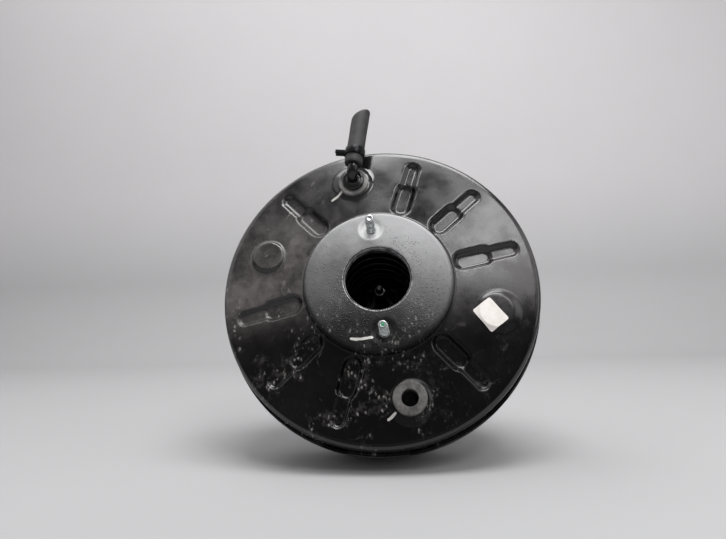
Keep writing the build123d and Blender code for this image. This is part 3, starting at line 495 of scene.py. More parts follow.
def front_enamel(features):
    """Electro-dipped black enamel on deep-drawn steel: a hard gloss over slight orange peel. The boss is
    chalky grey, with painted highlights at its upper right, on the upper stud's pad and around its hole,
    and painted shade towards its bottom; brown dust hazes the left, and water beads the black lower half."""
    material, tree, place = start_finish("dipped_enamel_front")
    split = add_node(tree, "ShaderNodeSeparateXYZ", {}, [place])
    flat = add_node(tree, "ShaderNodeVectorMath", TIMES, [place, (1, 0, 1)])
    across = add_node(tree, "ShaderNodeVectorMath", {"operation": "LENGTH"}, [flat])
    boss = add_node(tree, "ShaderNodeMapRange", SOFT, {
        "Value": across, "From Min": 64.2 * MM, "From Max": 67 * MM, "To Min": 1, "To Max": 0})
    low = add_node(tree, "ShaderNodeMapRange", SOFT, {
        "Value": split.outputs["Z"], "From Min": -2 * MM, "From Max": -58 * MM})
    left = add_node(tree, "ShaderNodeMapRange", SOFT, {
        "Value": split.outputs["X"], "From Min": 5 * MM, "From Max": -95 * MM})
    film = add_node(tree, "ShaderNodeTexNoise", {}, {
        "Vector": place, "Scale": per_size(48), "Detail": 6, "Roughness": 0.62})
    fine = add_node(tree, "ShaderNodeTexNoise", {}, {
        "Vector": place, "Scale": per_size(7), "Detail": 5, "Roughness": 0.65})

    # Brown dust over black paint: thick at the left, thin at the right and the top, none on what faces
    # down, and washed off the lower half.
    patchy = add_node(tree, "ShaderNodeMapRange", {}, {
        "Value": film, "From Min": 0.36, "From Max": 0.64, "To Min": 0.25, "To Max": 1.2})
    mottled = add_node(tree, "ShaderNodeMapRange", {}, {
        "Value": fine, "From Min": 0.3, "From Max": 0.7, "To Min": 0.65, "To Max": 1.35})
    dry = add_node(tree, "ShaderNodeMath", TIMES_PLUS, [low, -0.95, 1.0])
    wiped = add_node(tree, "ShaderNodeMapRange", SOFT, {
        "Value": split.outputs["Z"], "From Min": 20 * MM, "From Max": 85 * MM, "To Min": 1, "To Max": 0.2})
    normal = add_node(tree, "ShaderNodeNewGeometry").outputs["Normal"]
    ahead = add_node(tree, "ShaderNodeVectorMath", DOT, [normal, (0, -1, 0)])
    facing = add_node(tree, "ShaderNodeVectorMath", DOT, [normal, (0, -0.8, 0.6)])
    facing = add_node(tree, "ShaderNodeMapRange", SOFT, {
        "Value": facing, "From Min": 0.3, "From Max": 0.72})
    patchy = add_node(tree, "ShaderNodeMath", TIMES, [patchy, mottled])
    dust = add_node(tree, "ShaderNodeMath", TIMES_PLUS, [left, 0.42, 0.22])
    for share in (patchy, dry, wiped, facing):
        dust = add_node(tree, "ShaderNodeMath", TIMES, [dust, share])
    paint = add_node(tree, "ShaderNodeMix", COLOURS, [dust, linear("#050506"), linear("#6A6362")])

    # Pale smears where the dust has been wiped and has dried again, towards the upper left.
    smears = add_node(tree, "ShaderNodeTexNoise", {}, {
        "Vector": place, "Scale": per_size(16), "Detail": 5, "Roughness": 0.7, "Distortion": 0.8})
    smears = add_node(tree, "ShaderNodeMapRange", SOFT, {
        "Value": smears, "From Min": 0.6, "From Max": 0.74, "To Max": 0.55})
    share = add_node(tree, "ShaderNodeMath", TIMES, [dry, left])
    share = add_node(tree, "ShaderNodeMath", TIMES_PLUS, [low, 0.22, share])
    smears = add_node(tree, "ShaderNodeMath", TIMES, [smears, share])
    paint = add_node(tree, "ShaderNodeMix", COLOURS, [smears, paint, linear("#A8A3A0")])

    # The boss is chalky grey paint, painted lighter towards its upper right as a painted highlight and
    # darker towards its bottom as painted shade.
    wander = add_node(tree, "ShaderNodeMath", TIMES_PLUS, [film, 46 * MM, -35 * MM])
    wander = add_node(tree, "ShaderNodeMath", TIMES_PLUS, [fine, 24 * MM, wander])
    rise = add_node(tree, "ShaderNodeMath", TIMES_PLUS, [split.outputs["X"], 0.2, split.outputs["Z"]])
    rise = add_node(tree, "ShaderNodeMath", PLUS, [rise, wander])
    lower = add_node(tree, "ShaderNodeMapRange", {}, {
        "Value": rise, "From Min": -46 * MM, "From Max": 2 * MM})
    upper = add_node(tree, "ShaderNodeMapRange", {}, {
        "Value": rise, "From Min": 2 * MM, "From Max": 56 * MM})
    satin_and_shade = add_node(tree, "ShaderNodeMix", COLOURS, [lower, linear("#1E1E1E"), linear("#626262")])
    satin_and_shade = add_node(tree, "ShaderNodeMix", COLOURS, [upper, satin_and_shade, linear("#ABABAC")])
    # Near-black patches over the lower half deepen the painted shade.
    lower_shade_patches = add_node(tree, "ShaderNodeMapRange", SOFT, {
        "Value": fine, "From Min": 0.52, "From Max": 0.66, "To Max": 0.75})
    lower_shade_patches = add_node(tree, "ShaderNodeMath", TIMES, [lower_shade_patches, low])
    satin_and_shade = add_node(tree, "ShaderNodeMix", COLOURS, [lower_shade_patches, satin_and_shade, linear("#0E0E0E")])
    cluster = add_node(tree, "ShaderNodeTexNoise", {}, {
        "Vector": place, "Scale": per_size(30), "Detail": 2})
    cluster = add_node(tree, "ShaderNodeMapRange", SOFT, {
        "Value": cluster, "From Min": 0.46, "From Max": 0.6})

    # A fine dew darkens the chalk in spots of a millimetre or so.
    dew = add_node(tree, "ShaderNodeTexVoronoi", {}, {"Vector": place, "Scale": per_size(1.5)})
    spots = add_node(tree, "ShaderNodeMapRange", SOFT, {"Value": dew, "From Min": 0.5, "From Max": 0.2})
    dewy = add_node(tree, "ShaderNodeSeparateColor", {}, [dew.outputs["Color"]])
    settled = add_node(tree, "ShaderNodeMapRange", {}, {
        "Value": rise, "From Min": -50 * MM, "From Max": 45 * MM, "To Min": 0.45, "To Max": 1.1})
    settled = add_node(tree, "ShaderNodeMath", TIMES_PLUS, [cluster, -0.35, settled])
    dewy = add_node(tree, "ShaderNodeMath", {"operation": "GREATER_THAN"}, [dewy, settled])
    for share in (dewy, boss):
        spots = add_node(tree, "ShaderNodeMath", TIMES, [spots, share])
    darker = add_node(tree, "ShaderNodeMath", TIMES, [spots, 0.5])
    satin_and_shade = add_node(tree, "ShaderNodeMix", COLOURS, [darker, satin_and_shade, linear("#141414")])
    # Around the hole the turned edge stays black, between two pale lines that are painted highlights on its
    # rounded rim.
    turned = add_node(tree, "ShaderNodeMapRange", SOFT, {
        "Value": across, "From Min": 30.5 * MM, "From Max": 30.1 * MM})
    satin_and_shade = add_node(tree, "ShaderNodeMix", COLOURS, [turned, satin_and_shade, linear("#0B0B0C")])
    rim_highlight_breakup = add_node(tree, "ShaderNodeMapRange", {}, {
        "Value": fine, "From Min": 0.35, "From Max": 0.65, "To Min": 0.15, "To Max": 0.75})
    # Each ring is a painted highlight, broken up in places by noise.
    for radius in (28.8 * MM, 30.2 * MM):
        rim_highlight = add_node(tree, "ShaderNodeMath", MINUS, [across, radius])
        rim_highlight = add_node(tree, "ShaderNodeMath", {"operation": "ABSOLUTE"}, [rim_highlight])
        rim_highlight = add_node(tree, "ShaderNodeMapRange", SOFT, {
            "Value": rim_highlight, "From Min": 0.5 * MM, "From Max": 0.15 * MM})
        rim_highlight = add_node(tree, "ShaderNodeMath", TIMES, [rim_highlight, rim_highlight_breakup])
        satin_and_shade = add_node(tree, "ShaderNodeMix", COLOURS, [rim_highlight, satin_and_shade, linear("#C9C9CB")])
    whole = add_node(tree, "ShaderNodeMix", COLOURS, [boss, paint, satin_and_shade])

    # Beads of water a millimetre or two across, in clusters, each with dried dirt on it.
    sprayed = add_node(tree, "ShaderNodeMapRange", SOFT, {
        "Value": split.outputs["X"], "From Min": 68 * MM, "From Max": 15 * MM, "To Min": 0.04})
    cluster = add_node(tree, "ShaderNodeMath", TIMES, [cluster, sprayed])
    ragged = add_node(tree, "ShaderNodeVectorMath", {"operation": "SCALE"}, {
        0: fine.outputs["Color"], "Scale": 3.8 * MM})
    stretched = add_node(tree, "ShaderNodeVectorMath", TIMES_PLUS, [place, (1, 0.5, 0.6), ragged])
    beads = add_node(tree, "ShaderNodeTexVoronoi", {}, {"Vector": stretched, "Scale": per_size(2.9)})
    dome = add_node(tree, "ShaderNodeMapRange", SOFT, {"Value": beads, "From Min": 0.45, "From Max": 0.12})
    kept = add_node(tree, "ShaderNodeSeparateColor", {}, [beads.outputs["Color"]])
    kept = add_node(tree, "ShaderNodeMapRange", {}, {"Value": kept, "From Min": 0.34, "From Max": 0.38})
    wet = dome
    for share in (kept, low, cluster):
        wet = add_node(tree, "ShaderNodeMath", TIMES, [wet, share])
    dirt = add_node(tree, "ShaderNodeMapRange", {}, {
        "Value": fine, "From Min": 0.44, "From Max": 0.6, "To Max": 0.8})
    dirt = add_node(tree, "ShaderNodeMath", TIMES, [wet, dirt])
    whole = add_node(tree, "ShaderNodeMix", COLOURS, [dirt, whole, linear("#BAB6B2")])

    # Fine grey silt has dried between the beads.
    silt = add_node(tree, "ShaderNodeMapRange", {}, {
        "Value": fine, "From Min": 0.49, "From Max": 0.64, "To Max": 0.3})
    for share in (cluster, low):
        silt = add_node(tree, "ShaderNodeMath", TIMES, [silt, share])
    whole = add_node(tree, "ShaderNodeMix", COLOURS, [silt, whole, linear("#5E5A59")])

    # A painted highlight makes the upper dished pad bright.
    upper_stud = stud_places(features)[0]
    off = add_node(tree, "ShaderNodeVectorMath", {"operation": "DISTANCE"}, [
        flat, (upper_stud.x, 0, upper_stud.y)])
    pad_highlight = add_node(tree, "ShaderNodeMapRange", SOFT, {
        "Value": off, "From Min": 12.5 * MM, "From Max": 10.5 * MM, "To Max": 0.95})
    whole = add_node(tree, "ShaderNodeMix", COLOURS, [pad_highlight, whole, linear("#DCDCDC")])

    rough = add_node(tree, "ShaderNodeMapRange", SOFT, {
        "Value": film, "From Min": 0.3, "From Max": 0.75, "To Min": 0.1, "To Max": 0.3})
    chalky = add_node(tree, "ShaderNodeMapRange", SOFT, {
        "Value": across, "From Min": 30 * MM, "From Max": 31.5 * MM, "To Max": 0.2})
    rough = add_node(tree, "ShaderNodeMath", TIMES_PLUS, [boss, chalky, rough])
    rough = add_node(tree, "ShaderNodeMath", TIMES_PLUS, [dust, 0.4, rough])
    # Soot dulls the flats, the wall and the undersides of the lower half; the other edges keep their gloss.
    level = add_node(tree, "ShaderNodeMath", MINUS, [ahead, 0.7])
    level = add_node(tree, "ShaderNodeMath", {"operation": "ABSOLUTE"}, [level])
    level = add_node(tree, "ShaderNodeMapRange", SOFT, {"Value": level, "From Min": 0.12, "From Max": 0.22})
    under = add_node(tree, "ShaderNodeVectorMath", DOT, [normal, (0, 0, 1)])
    under = add_node(tree, "ShaderNodeMapRange", SOFT, {
        "Value": under, "From Min": 0.08, "From Max": -0.15})
    inner = add_node(tree, "ShaderNodeMapRange", SOFT, {
        "Value": across, "From Min": 135 * MM, "From Max": 132 * MM})
    under = add_node(tree, "ShaderNodeMath", TIMES, [under, inner])
    sooty = add_node(tree, "ShaderNodeMath", {"operation": "MAXIMUM"}, [level, under])
    sooty = add_node(tree, "ShaderNodeMath", TIMES, [low, sooty])
    gloss = add_node(tree, "ShaderNodeMapRange", {}, {"Value": sooty, "To Min": 0.6, "To Max": 0.15})
    peel = add_node(tree, "ShaderNodeTexNoise", {}, {"Vector": place, "Scale": per_size(2.4), "Detail": 3})
    pebbled = add_node(tree, "ShaderNodeMath", TIMES_PLUS, [boss, 0.25, 0.03])
    peel = add_node(tree, "ShaderNodeMath", TIMES, [peel, pebbled])
    height = add_node(tree, "ShaderNodeMath", PLUS, [peel, wet])
    height = add_node(tree, "ShaderNodeMath", TIMES_PLUS, [spots, 0.35, height])
    dull = add_node(tree, "ShaderNodeMath", TIMES_PLUS, [spots, -0.2, rough])
    bump = add_node(tree, "ShaderNodeBump", {}, {"Height": height, "Distance": 0.5 * MM})
    end_finish(tree, add_node(tree, "ShaderNodeBsdfPrincipled", {}, {
        "Base Color": whole, "Roughness": dull, "Normal": bump, "Specular IOR Level": gloss, "IOR": 1.52}))
    return material


def rear_enamel():
    """The same dipped enamel on the rear shell: glossy black with road dust in soft patches."""
    material, tree, place = start_finish("dipped_enamel_rear")
    film = add_node(tree, "ShaderNodeTexNoise", {}, {
        "Vector": place, "Scale": per_size(45), "Detail": 6, "Roughness": 0.6})
    dust = add_node(tree, "ShaderNodeMapRange", SOFT, {
        "Value": film, "From Min": 0.42, "From Max": 0.72, "To Max": 0.5})
    paint = add_node(tree, "ShaderNodeMix", COLOURS, [dust, linear("#111112"), linear("#3E3A37")])
    rough = add_node(tree, "ShaderNodeMapRange", SOFT, {
        "Value": film, "From Min": 0.3, "From Max": 0.75, "To Min": 0.18, "To Max": 0.45})
    peel = add_node(tree, "ShaderNodeTexNoise", {}, {"Vector": place, "Scale": per_size(3), "Detail": 2})
    bump = add_node(tree, "ShaderNodeBump", {}, {"Height": peel, "Distance": 0.015 * MM})
    end_finish(tree, add_node(tree, "ShaderNodeBsdfPrincipled", {}, {
        "Base Color": paint, "Roughness": rough, "Normal": bump, "IOR": 1.52}))
    return material


def plated_steel(name, light, dark, roughness, grain):
    """Steel under a thin plating or oxide: bright where it is clean, duller in patches of that grain."""
    material, tree, place = start_finish(name)
    patches = add_node(tree, "ShaderNodeTexNoise", {}, {
        "Vector": place, "Scale": per_size(grain), "Detail": 6, "Roughness": 0.6})
    tone = add_node(tree, "ShaderNodeMapRange", SOFT, {
        "Value": patches, "From Min": 0.36, "From Max": 0.62})
    tone = add_node(tree, "ShaderNodeMix", COLOURS, [tone, linear(light), linear(dark)])
    rough = add_node(tree, "ShaderNodeMapRange", {}, {
        "Value": patches, "From Min": 0.3, "From Max": 0.7, "To Min": roughness - 0.06,
        "To Max": roughness + 0.14})
    # The crystals of a plating are far finer, and are drawn this coarse so that they show.
    fine = add_node(tree, "ShaderNodeTexNoise", {}, {
        "Vector": place, "Scale": per_size(grain / 8), "Detail": 3})
    bump = add_node(tree, "ShaderNodeBump", {}, {"Height": fine, "Distance": 0.012 * MM})
    end_finish(tree, add_node(tree, "ShaderNodeBsdfPrincipled", {}, {
        "Base Color": tone, "Roughness": rough, "Normal": bump, "Metallic": 1.0}))
    return material


def moulded(name, tone, dusty, share, roughness, grain):
    """Moulded rubber or plastic: the mould's fine matt texture, with dust in patches."""
    material, tree, place = start_finish(name)
    patches = add_node(tree, "ShaderNodeTexNoise", {}, {
        "Vector": place, "Scale": per_size(11), "Detail": 6, "Roughness": 0.65})
    dust = add_node(tree, "ShaderNodeMapRange", SOFT, {
        "Value": patches, "From Min": 0.38, "From Max": 0.66, "To Max": share})
    body = add_node(tree, "ShaderNodeMix", COLOURS, [dust, linear(tone), linear(dusty)])
    rough = add_node(tree, "ShaderNodeMapRange", {}, {
        "Value": patches, "From Min": 0.35, "From Max": 0.65, "To Min": roughness - 0.08,
        "To Max": roughness + 0.1})
    # The mould's own texture is several times finer, and is drawn this coarse so that it shows.
    skin_grain = add_node(tree, "ShaderNodeTexNoise", {}, {
        "Vector": place, "Scale": per_size(grain), "Detail": 3})
    bump = add_node(tree, "ShaderNodeBump", {}, {"Height": skin_grain, "Distance": 0.05 * MM})
    end_finish(tree, add_node(tree, "ShaderNodeBsdfPrincipled", {}, {
        "Base Color": body, "Roughness": rough, "Normal": bump}))
    return material


def fibrous(name, tone, shade, cell):
    """Open foam or pressed felt: dark cells between light strands, with no gloss."""
    material, tree, place = start_finish(name)
    cells = add_node(tree, "ShaderNodeTexVoronoi", {}, {"Vector": place, "Scale": per_size(cell)})
    body = add_node(tree, "ShaderNodeMix", COLOURS, [cells, linear(shade), linear(tone)])
    bump = add_node(tree, "ShaderNodeBump", {}, {"Height": cells, "Distance": 0.4 * MM})
    end_finish(tree, add_node(tree, "ShaderNodeBsdfPrincipled", {}, {
        "Base Color": body, "Normal": bump, "Roughness": 0.95}))
    return material


finishes = {}


def make_finishes(features):
    """One finish for each material slot of the record, and more for single pieces and the marks."""
    finishes.update({
        # Dipped enamel: deep black with a hard gloss under dust and water.
        "black_enamel": front_enamel(features),
        "rear_enamel": rear_enamel(),
        # Zinc is a cold, bright grey, sharper on a thread than on sheet.
        "zinc_steel": plated_steel("zinc_plated_sheet", "#B4B7B8", "#86888A", 0.34, 12),
        "zinc_stud": plated_steel("bright_zinc_plate", "#CDD1D1", "#8A8E8D", 0.3, 3),
        # Phosphate is a dull dark grey, turned steel a plain bright one, and oil leaves it dark and slick.
        "dish_steel": plated_steel("phosphated_sheet", "#5C5C5E", "#3C3B3B", 0.5, 15),
        "rod_steel": plated_steel("turned_steel", "#A9A8A6", "#7D7B79", 0.28, 5),
        "adjuster_steel": plated_steel("oiled_adjuster_steel", "#6A6968", "#3C3B3B", 0.42, 4),
        "pushrod_steel": plated_steel("oiled_dark_steel", "#353434", "#1E1D1D", 0.34, 6),
        "spring_steel": plated_steel("phosphated_wire", "#2E2E2F", "#1B1B1C", 0.42, 6),
        # Passivate is yellow with duller patches, and a blackened band has a low dark gloss.
        "clevis_steel": plated_steel("yellow_passivate", "#C4B47C", "#8D8760", 0.34, 6),
        "clamp_steel": plated_steel("blackened_spring_band", "#2C2C2D", "#151516", 0.32, 5),
        # Rubber is matt black and greyer where dust clings to it. The check valve's grommet is a slicker
        # copy in a lighter tone, which is a painted highlight.
        "diaphragm_rubber": moulded("diaphragm_rubber", "#181818", "#2A2928", 0.5, 0.6, 0.8),
        "seal_rubber": moulded("nitrile_rubber", "#171717", "#252423", 0.4, 0.5, 0.6),
        "grommet_rubber": moulded("dusty_grommet_rubber", "#3B3938", "#74716E", 0.85, 0.66, 0.5),
        "lit_grommet": moulded("lit_grommet_rubber", "#6A6867", "#A8A5A2", 0.85, 0.35, 0.5),
        "boot_rubber": moulded("boot_rubber", "#191919", "#3B3835", 0.55, 0.6, 0.6),
        "hose_rubber": moulded("vacuum_hose_rubber", "#1D1D1D", "#3E3C3B", 0.75, 0.6, 0.6),
        # Phenolic is a warm brown black, acetal waxy and pale, nylon glossy or matt by its mould.
        "phenolic": moulded("filled_phenolic", "#26221F", "#3B3733", 0.5, 0.45, 0.4),
        "guide_plastic": moulded("acetal", "#C9C8C0", "#A8A69C", 0.6, 0.4, 0.5),
        "valve_plastic": moulded("glossy_nylon", "#060606", "#171717", 0.4, 0.16, 0.9),
        "cap_plastic": moulded("matt_nylon", "#1C1C1D", "#353331", 0.6, 0.5, 0.5),
        # Foam shows dark open cells, and felt pale matted strands.
        "filter_foam": fibrous("open_foam", "#4A4846", "#0E0E0E", 1.4),
        "felt": fibrous("pressed_felt", "#A39C90", "#5F594F", 0.9),
        # Label film is smooth and white, and a paint pen leaves a thick, slightly glossy line.
        "label_film": moulded("label_film", "#F9F3EE", "#DCD5CD", 0.5, 0.42, 1.5),
        "white_paint": moulded("white_paint_pen", "#DEDCD6", "#A9A6A0", 0.6, 0.5, 0.8),
        "green_paint": moulded("green_paint_dot", "#3F8F6C", "#2F6B54", 0.6, 0.4, 0.8),
    })


class BOOSTER_OT_finishes(bpy.types.Operator):
    """Make the finishes and put each on the nodes that have it"""
    bl_idname = "booster.finishes"
    bl_label = "Finishes"

    def execute(self, context):
        make_finishes(context.scene.booster_features)
        for subpart in frame["record"]["subparts"]:
            node = frame["nodes"][subpart["node"]]
            node.data.materials.clear()
            node.data.materials.append(finishes[subpart["material_slot"]])
        return {"FINISHED"}


# ---- front shell ---------------------------------------------------------------------------------
def soft_step(share):
    """A share of the way, with a soft start and end."""
    share = np.clip(share, 0, 1)
    return share * share * (3 - 2 * share)


def soft_max(first, second, rounding):
    """The larger of two heights, rounded where they cross."""
    share = np.clip(0.5 + 0.5 * (first - second) / rounding, 0, 1)
    return second + (first - second) * share + rounding * share * (1 - share)


def cone_height(shell, radius):
    """Height of the plain sloping face."""
    slope = shell.cone_fall / (shell.wall - shell.foot)
    return shell.face - shell.boss_height - (radius - shell.foot) * slope


def away_from(radius, turn, place_radius, place_turn):
    """Distance from a place on the face."""
    along = radius * np.cos(turn - place_turn) - place_radius
    return np.hypot(along, radius * np.sin(turn - place_turn))


def slot_depth(inner, outer, width, depth, features, along, across):
    """Depth of a round-ended slot with sloping walls and rounded edges."""
    middle = along - np.clip(along, inner + width / 2, outer - width / 2)
    inside = width / 2 - np.hypot(middle, across)
    run = depth * math.tan(features.draft)
    share = np.clip((inside + features.rounding) / (run + 2 * features.rounding), 0, 1)
    # The power makes the upper edge of the wall crisper than its foot.
    return depth * soft_step(share ** 0.7)


def pocket_depth(shell, features, radius, turn):
    """How deep the pockets are; the two steps of one run into each other."""
    step_rounding = 0.8 * MM
    outer = shell.wall - features.edge_gap
    step = outer - features.nose
    depth = np.zeros_like(radius)
    for number, wanted in enumerate(features.places):
        if wanted:
            middle = features.first + number * 2 * math.pi / len(features.places)
            place = radius * np.cos(turn - middle), radius * np.sin(turn - middle)
            deep = slot_depth(
                shell.foot + features.foot_gap, step, features.width, features.deep, features, *place)
            shallow = slot_depth(
                step - features.nose_width, outer, features.nose_width, features.shallow, features, *place)
            depth = np.maximum(depth, soft_max(deep, shallow, step_rounding))
    return depth


def relief(shell, features, radius, turn):
    """Height of the pressed features above the plain sloping face."""
    foot_rounding = 0.7 * MM
    port = shell.wall - features.port_inset
    plain = cone_height(shell, radius)
    seat_level = cone_height(shell, port)
    height = -pocket_depth(shell, features, radius, turn)
    seats = [(where, features.seat_foot, features.seat_top, features.seat_height)
             for where in (features.valve_angle, features.sensor_angle, features.blank_angle)]
    seats.append((features.dimple_angle, features.dimple_foot, features.dimple_top, features.dimple_height))
    for where, foot, top, rise in seats:
        beyond = np.maximum(away_from(radius, turn, port, where) - top, 0)
        level = seat_level + rise - beyond * rise / (foot - top)
        height = soft_max(level - plain, height, foot_rounding)
    return height


def stud_circle():
    """Radius of the circle that the master cylinder's studs stand on."""
    return mount("master_cylinder_studs")["dims"]["pcd_mm"] / 2 * MM


def dished(shell, features, radius, turn, height, inset):
    """Lower the boss to the dished pads around the two studs."""
    dish_rounding = 0.6 * MM
    pad = shell.face - shell.boss_fall / 2 - features.dish_depth - inset
    slope = features.dish_depth / (features.dish_top - features.dish_flat)
    for where in (features.stud_angle, features.stud_angle + math.pi):
        beyond = np.maximum(away_from(radius, turn, stud_circle(), where) - features.dish_flat, 0)
        height = -soft_max(-height, -(pad + beyond * slope), dish_rounding)
    return height


def pressed(shell, features, radius, turn, forward, inset=0.0):
    """Lift plain points of the face, or of the inside of its sheet, to the pressed surface."""
    wall_margin, hole_margin = 4 * MM, 2 * MM
    on_slope = (radius > shell.foot - shell.edge) & (radius < shell.wall - wall_margin)
    lifted = np.where(on_slope, forward + relief(shell, features, radius, turn), forward)
    on_boss = (radius > shell.hole + hole_margin) & (radius < shell.boss)
    return np.where(on_boss, dished(shell, features, radius, turn, lifted, inset), lifted)


def front_outline(shell, inset):
    """The turned outline of the shell without its pressed features, from the lip's end to the flange."""
    slope_end = shell.face - shell.boss_height - shell.cone_fall
    top = shell.flange_back + shell.sheet
    hole_rounding = 0.2 * MM if inset else 2.6 * MM
    # The sides of the boss lean, so that the inside of the sheet is this much narrower there.
    aside = inset * 0.6
    rim = [(shell.hole + inset, shell.face - shell.lip, 0),
           (shell.hole + inset, shell.face - inset, hole_rounding)]
    face = [(shell.boss - aside, shell.face - shell.boss_fall - inset, shell.edge - inset),
            (shell.foot - aside, shell.face - shell.boss_height - inset, shell.edge + inset),
            (shell.wall - inset, slope_end - inset, shell.corner - inset)]
    if inset:
        return rim + face + [(shell.wall - inset, shell.flange_back, 0)]
    flange = shell.wall + shell.flange
    return rim + face + [
        (shell.wall, top, 0.8 * MM), (flange, top, 0.5 * MM), (flange, shell.flange_back, 0.4 * MM),
        (shell.wall - shell.sheet, shell.flange_back, 0)]


def face_rings(shell, features, inset, segments, spacing):
    """Rings of the outside or, inset by the sheet, of the inside of the front shell."""
    outline = filled_in(rounded(front_outline(shell, inset), spacing / 2), spacing)
    radius = np.array([point[0] for point in outline])[:, None]
    forward = np.array([point[1] for point in outline])[:, None]
    radius, turn, forward = np.broadcast_arrays(radius, around(segments)[None, :], forward)
    below_corner = 8 * MM
    on_front = forward > shell.face - shell.boss_height - shell.cone_fall - below_corner
    lifted = pressed(shell, features, radius, turn, forward, inset)
    return on_axis(radius, turn, np.where(on_front, lifted, forward))


def across_axis(vert):
    """Where a vertex is across the booster's axis, as X and Z."""
    return Vector((vert.co.x, vert.co.z))


def open_hole(shape, middle, radius, verts):
    """Open a round hole in a skin; returns the edges around it."""
    inside = {vert for vert in verts if (across_axis(vert) - middle).length < radius}
    lost = [face for face in {face for vert in inside for face in vert.link_faces}
            if all(vert in inside for vert in face.verts)]
    bmesh.ops.delete(shape, geom=lost, context="FACES")
    rim = {vert for vert in inside if vert.is_valid and vert.link_faces}
    for vert in rim:
        away = (across_axis(vert) - middle).normalized() * radius
        vert.co.x, vert.co.z = middle.x + away.x, middle.y + away.y
    return [edge for edge in {edge for vert in rim for edge in vert.link_edges}
            if len(edge.link_faces) == 1 and all(vert in rim for vert in edge.verts)]


def drilled(outer, inner, holes):
    """Two open skins with round holes through both, joined at the holes and at their two ends."""
    shape = bmesh.new()
    shape.from_mesh(outer)
    outer_count = len(shape.verts)
    shape.from_mesh(inner)
    shape.verts.ensure_lookup_table()
    sides = shape.verts[:outer_count], shape.verts[outer_count:]
    ends = [edge for edge in shape.edges if edge.is_boundary]
    reach_out = [across_axis(edge.verts[0]).length for edge in ends]
    middle = (min(reach_out) + max(reach_out)) / 2
    for wide in (True, False):
        pair = [edge for edge, radius in zip(ends, reach_out) if (radius > middle) == wide]
        bmesh.ops.bridge_loops(shape, edges=pair)
    for where, radius, low, high in holes:
        rims = []
        for verts in sides:
            near = [vert for vert in verts if vert.is_valid and low < -vert.co.y < high]
            rims += open_hole(shape, where, radius, near)
        bmesh.ops.bridge_loops(shape, edges=rims)
    bmesh.ops.recalc_face_normals(shape, faces=shape.faces)
    mesh = bpy.data.meshes.new("drilled")
    shape.to_mesh(mesh)
    shape.free()
    return mesh


def at_angle(radius, turn):
    """A place around the axis, as X and Z."""
    return Vector((radius * math.cos(turn), radius * math.sin(turn)))


def stud_places(features):
    """Middles of the two master cylinder studs."""
    return [at_angle(stud_circle(), features.stud_angle + turn) for turn in (0, math.pi)]


# Segments around the axis and spacing along the outline of the front shell's outside and of its inside,
# which keep it under 200,000 triangles, and those of the rear shell.
FRONT_GRIDS = (504, 1.22 * MM), (240, 2.4 * MM)
REAR_GRIDS = (360, 1.4 * MM), (288, 1.8 * MM)


class BOOSTER_OT_front_shell(bpy.types.Operator):
    """Make the pressed front shell with its pockets, seats and dished pads"""
    bl_idname = "booster.front_shell"
    bl_label = "Front Shell"

    def execute(self, context):
        shell, features = context.scene.booster_shell, context.scene.booster_features
        outer = skin(face_rings(shell, features, 0.0, *FRONT_GRIDS[0]))
        inner = skin(face_rings(shell, features, shell.sheet, *FRONT_GRIDS[1])[::-1])
        port = shell.wall - features.port_inset
        behind_face = 85 * MM
        front = (behind_face, shell.face)
        holes = [(at_angle(port, where), features.port_hole, *front)
                 for where in (features.valve_angle, features.sensor_angle)]
        neck = context.scene.booster_studs.neck
        holes += [(place, neck, *front) for place in stud_places(features)]
        add_piece("front_shell_skin", drilled(outer, inner, holes), "casing", "black_enamel",
                  replaced=["front_shell"])
        return {"FINISHED"}


# ---- rear shell ----------------------------------------------------------------------------------
def rear_outlines(rear, sheet):
    """The outside, from the rim's front round to the neck's end, and the inside back again."""
    rim = rear.rim_inside + sheet
    lip = rear.neck - sheet - rear.neck_lip
    inner_wall, inner_neck = rear.wall - sheet, rear.neck - sheet
    outside = [
        (rear.rim_inside, rear.rim_front, 0), (rim, rear.rim_front, 0.5 * MM),
        (rim, rear.seat - sheet, 0.7 * MM), (rear.wall, rear.seat - sheet, 0.8 * MM),
        (rear.wall, rear.cone, rear.corner), (rear.step, rear.step_height, 4 * MM),
        (rear.pad, 0, 3 * MM), (rear.neck, 0, 1 * MM),
        (rear.neck, -rear.neck_length, 1 * MM), (lip, -rear.neck_length, 0)]
    inside = [
        (lip, sheet - rear.neck_length, 0), (inner_neck, sheet - rear.neck_length, 0.4 * MM),
        (inner_neck, sheet, 1 * MM), (rear.pad, sheet, 3 * MM),
        (rear.step, rear.step_height + sheet, 4 * MM),
        (inner_wall, rear.cone + sheet, rear.corner - sheet),
        (inner_wall, rear.seat, 0.6 * MM), (rear.rim_inside, rear.seat, 0)]
    return outside, inside


def bulkhead_places():
    """Middles of the four bulkhead studs."""
    dims = mount("bulkhead_studs")["dims"]
    half_x, half_z = dims["spacing_x_mm"] / 2 * MM, dims["spacing_y_mm"] / 2 * MM
    return [Vector((x, z)) for x in (-half_x, half_x) for z in (-half_z, half_z)]


